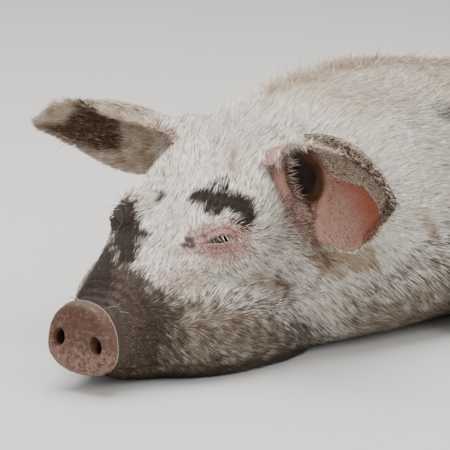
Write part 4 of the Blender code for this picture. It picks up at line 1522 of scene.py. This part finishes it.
@dataclass
class Coat:
    """The short coat: its lie, length and thickness all over the skin, and its pieces."""

    skin: Piece
    shares: dict[Mark, Array]
    lift: float = 0.20
    stray: float = 0.13
    thinness: float = 0.6
    root_rise: float = 0.012
    cuts: tuple[tuple[str, float, float], ...] = (
        ("muzzle", -1.0, 0.085), ("cheek", 0.085, 0.160), ("temple", 0.160, 0.215), ("poll", 0.215, 0.285),
        ("neck", 0.285, 0.400), ("withers", 0.400, 0.520), ("shoulder", 0.520, 0.700), ("flank", 0.700, 0.930),
        ("rump", 0.930, 9.0),
    )

    def __post_init__(self) -> None:
        """Reads the skin once."""
        self.points = places(self.skin.data)
        self.facing = normals(self.skin.data)
        self.head = HEAD.inside(self.points)
        self.head_facing = HEAD.turned_back(self.facing)
        self.ear = EARS.share(self.head)
        self.limbs = LIMBS.near(self.points)

    def lie(self) -> Array:
        """The way the coat lies at each point of the skin, flat on it."""
        head, points = self.head, self.points
        side, top = np.sign(head[:, 0]), ramp(self.head_facing[:, 2], 0.05, 0.60)
        low = ramp(head[:, 2], 0.020, -0.020)
        up = -0.85 + 0.50 * low + (1.45 - 0.5 * low) * top
        out = side * (0.10 + 0.25 * (1 - top))
        face = np.stack([out, np.full(len(head), 0.80), up], axis=1)
        for eye in EYES:
            away = head - eye.centre()
            near = ramp(np.linalg.norm(away, axis=1), 0.050, 0.022)[:, None]
            face = face * (1 - 0.55 * near) + unit(away) * 0.55 * near * 1.2
        face = HEAD.turned(face)
        steep = 1.0 - np.abs(self.facing[:, 2])
        down = -(0.10 + 0.75 * ramp(points[:, 2], 0.20, 0.06)) * steep
        body = np.stack([0.15 * np.sign(points[:, 0]) * (1 - steep), np.ones(len(down)), down], axis=1)
        behind = ramp(head[:, 1], 0.24, 0.34)[:, None]
        ways = face * (1 - behind) + body * behind
        x, y, z = points.T
        wave = 0.20 * np.sin(y * 42.0 + z * 31.0) + 0.14 * np.sin(x * 77.0 - y * 61.0 + z * 23.0)
        ways = ways + np.cross(self.facing, ways) * wave[:, None]
        for near, way in self.limbs:
            ways = ways * (1 - near[:, None]) + way * near[:, None]
        for sign, root in zip(BOTH, EARS.roots):
            away = unit(head - np.array(root) + np.array((0.0, 0.0, self.root_rise)))
            share = (self.ear * (side == sign))[:, None]
            ways = ways * (1 - share) + HEAD.turned(away) * share
        return flattened(ways, self.facing)

    def thickness(self) -> Array:
        """How many bristles stand on a square metre at each point of the skin."""
        behind = self.head[:, 1]
        thick = np.interp(behind, (0.0, 0.26, 0.34, 0.50, 0.64, 1.2), (0.92, 0.92, 0.53, 0.30, 0.142, 0.120)) * DENSE
        thick = np.where(self.ear > ON_EAR, 0.85 * DENSE, thick)
        snout = np.where(self.head[:, 2] > -0.015, ramp(behind, 0.016, 0.050), ramp(behind, 0.010, 0.030))
        thick *= np.where(self.shares[Mark.DISC] > 0, 0.0, np.minimum(snout + 0.02, 1.0))
        for eye in EYES:
            local = eye.local(self.head)
            gap = np.where(local[:, 2] > 0, eye.opening(local), 1.0)
            thick *= ramp(gap, 0.0022, 0.0030) * (0.10 + 0.90 * ramp(gap, 0.004, 0.016))
        bare = self.shares[Mark.BARE]
        thick *= 1.0 - 0.66 * ramp(bare, 0.3, 1.0) - 0.28 * ramp(bare, 1.1, 1.5)
        off_rim = 1 - ramp(self.shares[Mark.RIM], 0.15, 0.60)
        thick *= 1.0 - 0.94 * ramp(self.shares[Mark.FLUSH], 0.28, 0.55) * off_rim
        thick *= 1.0 - 0.6 * self.shares[Mark.DUSK]
        thick *= 1.0 - ramp(self.shares[Mark.HOLLOW], 0.25, 0.55)
        return thick * ramp(self.points[:, 2], 0.0012, 0.0045)

    def lengths(self) -> Array:
        """How long the bristles are at each point of the skin."""
        behind = self.head[:, 1]
        long = np.interp(behind, (0.01, 0.05, 0.12, 0.28, 0.45, 0.70), (4.5, 7.0, 10.5, 13.0, 16.0, 21.0)) * MM
        long = np.where(self.ear > ON_EAR, 7.0 * MM, long)
        long *= 1.0 - 0.5 * self.shares[Mark.FLUSH] * (self.head[:, 0] > 0) * (1 - self.shares[Mark.RIM])
        long *= 1.0 - 0.50 * np.clip(self.shares[Mark.BARE], 0, 1)
        for eye in EYES:
            long *= 0.45 + 0.55 * ramp(np.linalg.norm(eye.local(self.head), axis=1), 0.014, 0.030)
        foot = np.maximum.reduce([near for near, _ in self.limbs[:-1]])
        return long * (1.0 - 0.45 * foot)

    def widths(self) -> Array:
        """How wide the bristles are at each point of the skin."""
        return np.interp(self.head[:, 1], (0.0, 0.28, 0.45, 0.70), (0.95, 1.0, 1.3, 2.1)) * MM

    def regions(self) -> dict[str, Array]:
        """Which points of the skin each piece of the coat covers."""
        behind, left, ear = self.head[:, 1], self.points[:, 0] > 0, self.ear > ON_EAR
        halves = (("left", left), ("right", ~left))
        found = {
            f"{name}_{side}": (behind >= low) & (behind < high) & here & ~ear
            for name, low, high in self.cuts for side, here in halves
        }
        return found | {f"ear_{side}": ear & here for side, here in halves}

    def build(self, tree: BristleTree, bristle: Piece, finish: Material) -> list[Piece]:
        """Grows the coat, piece by piece.

        Args:
            tree: The nodes that set bristles on faces.
            bristle: The bristle's shape.
            finish: The coat's finish.

        Returns:
            The pieces.
        """
        base = new_piece("base", self.skin.data.copy())
        for name, values in (("lie", self.lie()), ("long", self.lengths()), ("wide", self.widths())):
            put(base.data, name, values)
        thick = self.thickness()
        pieces = []
        for number, (name, here) in enumerate(self.regions().items()):
            put(base.data, "thick", thick * here)
            pieces.append(tree.grow(
                base, f"coat_{name}", Bristle=bristle, Finish=finish, Seed=number + 1, Lift=self.lift,
                Stray=self.stray, Thinness=self.thinness,
            ))
        drop(base)
        return pieces


@dataclass(frozen=True)
class Fringe:
    """Long hairs that stand along a line of points."""

    line: Line
    count: int
    spread: float
    long: float
    wide: float
    way: Point
    sides: tuple[int, ...] = BOTH
    clean: float = 0.0
    on_head: bool = True
    stray: float = 0.25


FRINGES = (
    Fringe(
        path(-10, 205, 156, -6, 260, 182, -4, 310, 200),
        240, 0.008, 0.016, 0.0005, (-0.35, 0.25, 0.95), (LEFT,), stray=0.4,
    ),
    Fringe(
        path(-4, 300, 196, 10, 350, 208, 26, 410, 217),
        260, 0.01, 0.019, 0.0006, (-0.4, 0.35, 0.8), (LEFT,), stray=0.4,
    ),
    Fringe(
        path(0, -200, 245, 0, 150, 265, 0, 400, 250),
        700, 0.016, 0.024, 0.0009, (0.0, 0.93, 0.33), (LEFT,), on_head=False,
    ),
    Fringe(
        ((0.0496, 0.5857, 0.111), (0.0336, 0.5937, 0.106)),
        240, 0.003, 0.04, 0.0008, (-0.55, 0.05, -0.8), (LEFT,), on_head=False,
    ),
    Fringe(
        path(115, 192, 181, 148, 183, 186, 183, 182, 174, 209, 184, 146),
        460, 0.0025, 0.007, 0.0006, (0.75, 0.05, 0.65), (LEFT,),
    ),
    Fringe(path(209, 188, 140, 196, 200, 120, 167, 219, 90), 240, 0.0025, 0.006, 0.0006, (0.8, 0.0, -0.55), (LEFT,)),
    Fringe(
        path(100, 196, 172, 148, 186, 184, 183, 184, 174, 214, 190, 144),
        620, 0.003, 0.0105, 0.0006, (0.85, 0.0, 0.45), (RIGHT,),
    ),
    Fringe(
        path(146, 236, 146, 172, 230, 142, 204, 220, 136),
        620, 0.009, 0.013, 0.0006, (0.85, -0.3, 0.15), (RIGHT,), stray=0.45,
    ),
    Fringe(path(70, 224, 150, 77, 220, 134, 86, 220, 116), 80, 0.0016, 0.013, 0.00045, (0.7, 0.4, 0.1), BOTH, 0.55),
    Fringe(path(52, 128, 94, 58, 134, 95), 10, 0.004, 0.024, 0.0005, (0.85, -0.6, 0.25), (RIGHT,), 0.9, stray=0.35),
    Fringe(path(28, 20, 22, 42, 50, 10, 56, 85, -6), 14, 0.012, 0.013, 0.0005, (0.75, 0.4, -0.2), BOTH, stray=0.5),
    Fringe(path(18, 15, 34, 22, 18, 30), 4, 0.003, 0.02, 0.00035, (0.75, -0.25, 0.45), BOTH, 0.8),
)


@dataclass
class LongHairs:
    """The long hairs: mane, whiskers, lashes, and the fringes of the ears and the tail."""

    skin: Piece
    shares: dict[Mark, Array]
    seed: int = 7
    hair_seed: int = 71
    lash_seed: int = 72
    rows_of_lashes: tuple[tuple[float, float, int], ...] = ((-0.0095, 0.0085, 7), (0.0105, 0.0165, 6))
    lash_long: float = 0.0085
    lash_wide: float = 0.0011

    def __post_init__(self) -> None:
        """Reads the skin once."""
        self.search = BVHTree.FromObject(self.skin, bpy.context.evaluated_depsgraph_get())
        self.random = np.random.default_rng(self.seed)

    def along(self, fringe: Fringe, side: int) -> tuple[Array, Array]:
        """Places strewn along a fringe's line, and the way its hairs point, in the frame."""
        corners = mirrored(fringe.line, side)
        lengths = np.linalg.norm(corners[1:] - corners[:-1], axis=1)
        marks = np.concatenate(([0.0], np.cumsum(lengths)))
        at = self.random.random(fringe.count) * marks[-1]
        spots = np.stack([np.interp(at, marks, corners[:, i]) for i in range(3)], axis=1)
        spots = spots + self.random.normal(0.0, fringe.spread, spots.shape)
        way = mirrored(fringe.way, side) + self.random.normal(0.0, fringe.stray, spots.shape)
        if fringe.on_head:
            return HEAD.outside(spots), unit(HEAD.turned(way))
        return spots, unit(way)

    def lashes(self) -> tuple[Array, Array, Array]:
        """The lashes of both eyes: roots on the upper lids, their ways and their lengths."""
        found = []
        for eye in EYES:
            along, across, gaze = eye.axes()
            for x in np.concatenate([np.linspace(*row) for row in self.rows_of_lashes]):
                x = x + self.random.normal(0.0, 0.0003)
                y = eye.upper * max(1.0 - (x / eye.slit_half) ** 2, 0.0) ** 0.75 + 0.0002
                z = math.sqrt(max(eye.lid_radius**2 - x * x - y * y, 1e-8))
                spot = eye.centre() + (along * x + across * y + gaze * z)
                way = gaze * 0.52 - across * 0.85 + along * self.random.normal(0.10, 0.12)
                found.append((spot, way, self.lash_long * self.random.uniform(0.8, 1.1)))
        spots, ways, longs = (np.array(values) for values in zip(*found))
        return HEAD.outside(spots), unit(HEAD.turned(ways)), longs

    def rooted(self, name: str, spots: Array, ways: Array, long: Array, wide: Array, clean: Array) -> Piece:
        """Roots on the skin with all that the bristle tree reads.

        Args:
            name: The object's name.
            spots: Places near the skin.
            ways: The ways the hairs point.
            long: Their lengths.
            wide: Their widths.
            clean: Which of them carry no marking.

        Returns:
            An object whose points are the roots.
        """
        found = [self.search.find_nearest(Vector(spot)) for spot in spots]
        mesh = bpy.data.meshes.new(name)
        mesh.from_pydata([tuple(hit[0]) for hit in found], [], [])
        faces = [self.skin.data.polygons[hit[2]] for hit in found]
        corner = np.array([face.vertices[0] for face in faces])
        layer = self.skin.data.uv_layers[UV_NAME].data
        put(mesh, "root_map", np.array([(*layer[face.loop_start].uv, 0.0) for face in faces]))
        put(mesh, "facing", np.array([tuple(hit[1]) for hit in found]))
        for label, values in (("lie", ways), ("long", long), ("wide", wide)):
            put(mesh, label, values)
        for mark, values in self.shares.items():
            put(mesh, mark.value, values[corner] * (1.0 - clean))
        return new_piece(name, mesh)

    def build(self, tree: BristleTree, finish: Material) -> list[Piece]:
        """Grows the long hairs and the lashes."""
        fringes = [(fringe, side) for fringe in FRINGES for side in fringe.sides]
        spots, ways = (np.concatenate(values) for values in zip(*(self.along(*entry) for entry in fringes)))
        counts = [fringe.count for fringe, _ in fringes]
        keys = ("long", "wide", "clean")
        sizes = [np.repeat([getattr(fringe, key) for fringe, _ in fringes], counts) for key in keys]
        bent = Bristle("bent", stations=(-0.04, 0.33, 0.66), droop=5.0).build()
        straight = Bristle("straight", stations=(-0.04, 0.5)).build()
        roots = self.rooted("roots", spots, ways, *sizes)
        hairs = tree.grow(
            roots, "coat_long_hairs", Bristle=bent, Finish=finish, Seed=self.hair_seed, Lift=0.05, Stray=0.05,
            Thinness=0.7,
        )
        spots, ways, long = self.lashes()
        wide = np.full(len(long), self.lash_wide)
        lash_roots = self.rooted("lash_roots", spots, ways, long, wide, np.ones(len(long)))
        lashes = tree.grow(
            lash_roots, "coat_lashes", Bristle=straight, Finish=finish, Seed=self.lash_seed, Lift=0.0, Stray=0.0,
            Thinness=0.8,
        )
        for helper in (bent, straight, roots, lash_roots):
            drop(helper)
        return [hairs, lashes]


# --- feet ---


@dataclass(frozen=True)
class Feet:
    """The horn of one foot: two claws that bear, and two dewclaws behind them."""

    leg: str
    voxel: float = 0.0012
    rounds: int = 10
    ring_gap: float = 0.0042
    ring_height: float = 0.00025

    def nodes(self) -> tuple[str, ...]:
        """The CAD nodes that this piece stands for."""
        return tuple(f"{self.leg}_{kind}_{place}" for kind in ("claw", "dewclaw") for place in ("inner", "outer"))

    def build(self, finish: Material) -> Piece:
        """Rounds the claws and rings their horn."""
        mesh = remeshed(joined([merged_copy(node) for node in self.nodes()]), self.voxel)
        points = smoothed(mesh, self.rounds)
        move_to(mesh, points)
        rings = np.sin(points[:, 1] * 2 * math.pi / self.ring_gap + 3.0 * np.sin(points[:, 0] * 160.0))
        move_to(mesh, points + normals(mesh) * (self.ring_height * rings)[:, None], FLOOR_GAP)
        mesh.shade_smooth()
        mesh.materials.append(finish)
        return new_piece(f"hoof_{self.leg}", mesh)


# --- floor and light ---


@dataclass(frozen=True)
class Studio:
    """The floor, the lights and the camera."""

    azimuth: float = 45.0
    elevation: float = 12.0
    distance: float = 2.6
    lens: float = 223.6
    sensor: float = 36.0
    sight: float = 50.0
    snout: Point = (0.0365, -0.5830, 0.0501)
    across: float = 0.133
    above: float = 0.107
    floor_size: float = 12.0
    floor_colour: Colour = (0.62, 0.60, 0.57)
    floor_roughness: float = 0.9
    room_colour: Colour = (0.95, 0.97, 1.0)
    room_power: float = 0.60
    lit: Point = (0.0, -0.3, 0.1)
    lamps: tuple[tuple[str, Point, float, float], ...] = (
        ("overhead", (-0.3, -0.4, 2.4), 2.2, 106.0), ("front", (1.9, -2.3, 1.5), 2.0, 30.0),
        ("side", (2.5, 0.1, 1.7), 2.0, 34.0), ("back", (-2.2, 1.2, 1.6), 2.0, 20.0),
    )

    @staticmethod
    def hang(data: bpy.types.Camera | bpy.types.Light, place: Vector, way: Vector) -> Piece:
        """Puts a camera or a lamp at a place, turned along a way."""
        piece = new_piece(data.name, data)
        piece.location = place
        piece.rotation_euler = way.to_track_quat("-Z", "Y").to_euler()
        return piece

    def camera(self) -> None:
        """The camera, turned to the head."""
        azimuth, elevation = math.radians(self.azimuth), math.radians(self.elevation)
        back = Vector(
            (math.sin(azimuth) * math.cos(elevation), -math.cos(azimuth) * math.cos(elevation), math.sin(elevation))
        )
        right = Vector((math.cos(azimuth), math.sin(azimuth), 0.0))
        target = Vector(self.snout) + right * self.across + back.cross(right) * self.above
        lens = bpy.data.cameras.new("camera")
        lens.lens, lens.sensor_width, lens.clip_end = self.lens, self.sensor, self.sight
        bpy.context.scene.camera = self.hang(lens, target + back * self.distance, -back)

    def floor(self) -> None:
        """A plain pale floor."""
        shape = bmesh.new()
        bmesh.ops.create_grid(shape, x_segments=2, y_segments=2, size=self.floor_size)
        mesh = closed(shape, "floor")
        material = bpy.data.materials.new("floor")
        material.use_nodes = True
        shader = material.node_tree.nodes["Principled BSDF"]
        shader.inputs["Base Color"].default_value = (*self.floor_colour, 1.0)
        shader.inputs["Roughness"].default_value = self.floor_roughness
        mesh.materials.append(material)
        new_piece("floor", mesh)

    def lights(self) -> None:
        """A broad light overhead, softer ones from the front, the side and the back, and a pale room."""
        for name, place, size, power in self.lamps:
            lamp = bpy.data.lights.new(name, "AREA")
            lamp.size, lamp.energy = size, power
            self.hang(lamp, Vector(place), Vector(self.lit) - Vector(place))
        world = bpy.data.worlds.new("room")
        world.use_nodes = True
        sky = world.node_tree.nodes["Background"]
        sky.inputs["Color"].default_value = (*self.room_colour, 1.0)
        sky.inputs["Strength"].default_value = self.room_power
        bpy.context.scene.world = world


# --- the whole ---


def settle(piece: Piece, nodes: Sequence[str] = ()) -> None:
    """Hands a piece to the frame and reports it."""
    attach(piece, "root")
    if nodes:
        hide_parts(*nodes)
    LOG.info("%s: %d faces", piece.name, len(piece.data.polygons))


def unwrap(piece: Piece) -> None:
    """Unwraps the skin over its own shape."""
    bpy.context.view_layer.objects.active = piece
    piece.select_set(True)
    piece.data.uv_layers.new(name=UV_NAME)
    bpy.ops.object.mode_set(mode="EDIT")
    bpy.ops.mesh.select_all(action="SELECT")
    bpy.ops.uv.smart_project(angle_limit=math.radians(UV_ANGLE), island_margin=UV_GAP)
    bpy.ops.object.mode_set(mode="OBJECT")
    piece.select_set(False)


def main() -> None:
    """Builds every piece in order."""
    logging.basicConfig(level=logging.INFO, format="%(relativeCreated)d %(message)s")
    studio = Studio()
    studio.camera()
    studio.floor()
    studio.lights()
    skin = Skin().build()
    unwrap(skin)
    shares = Markings().lay(skin)
    wiring = Wiring("pink_skin")
    skin.data.materials.append(SkinFinish(wiring, wiring.place()).build())
    settle(skin, FLESH_NODES)
    for eye in EYES:
        globe = eye.build()
        globe.data.materials.append(EyeFinish().build(eye))
        settle(globe, (f"eye_{SIDE_NAMES[eye.side]}",))
    horn = HornFinish().build()
    for leg in sided("foreleg", "hindleg"):
        foot = Feet(leg)
        settle(foot.build(horn), foot.nodes())
    wiring = Wiring("bristle_coat")
    finish = CoatFinish(wiring, wiring.attribute("root", "Vector")).build()
    bristle = Bristle("bristle").build()
    for piece in Coat(skin, shares).build(BristleTree("bristles", True), bristle, finish):
        settle(piece)
    drop(bristle)
    for piece in LongHairs(skin, shares).build(BristleTree("rooted_bristles", False), finish):
        settle(piece)


if __name__ == "__main__":
    main()
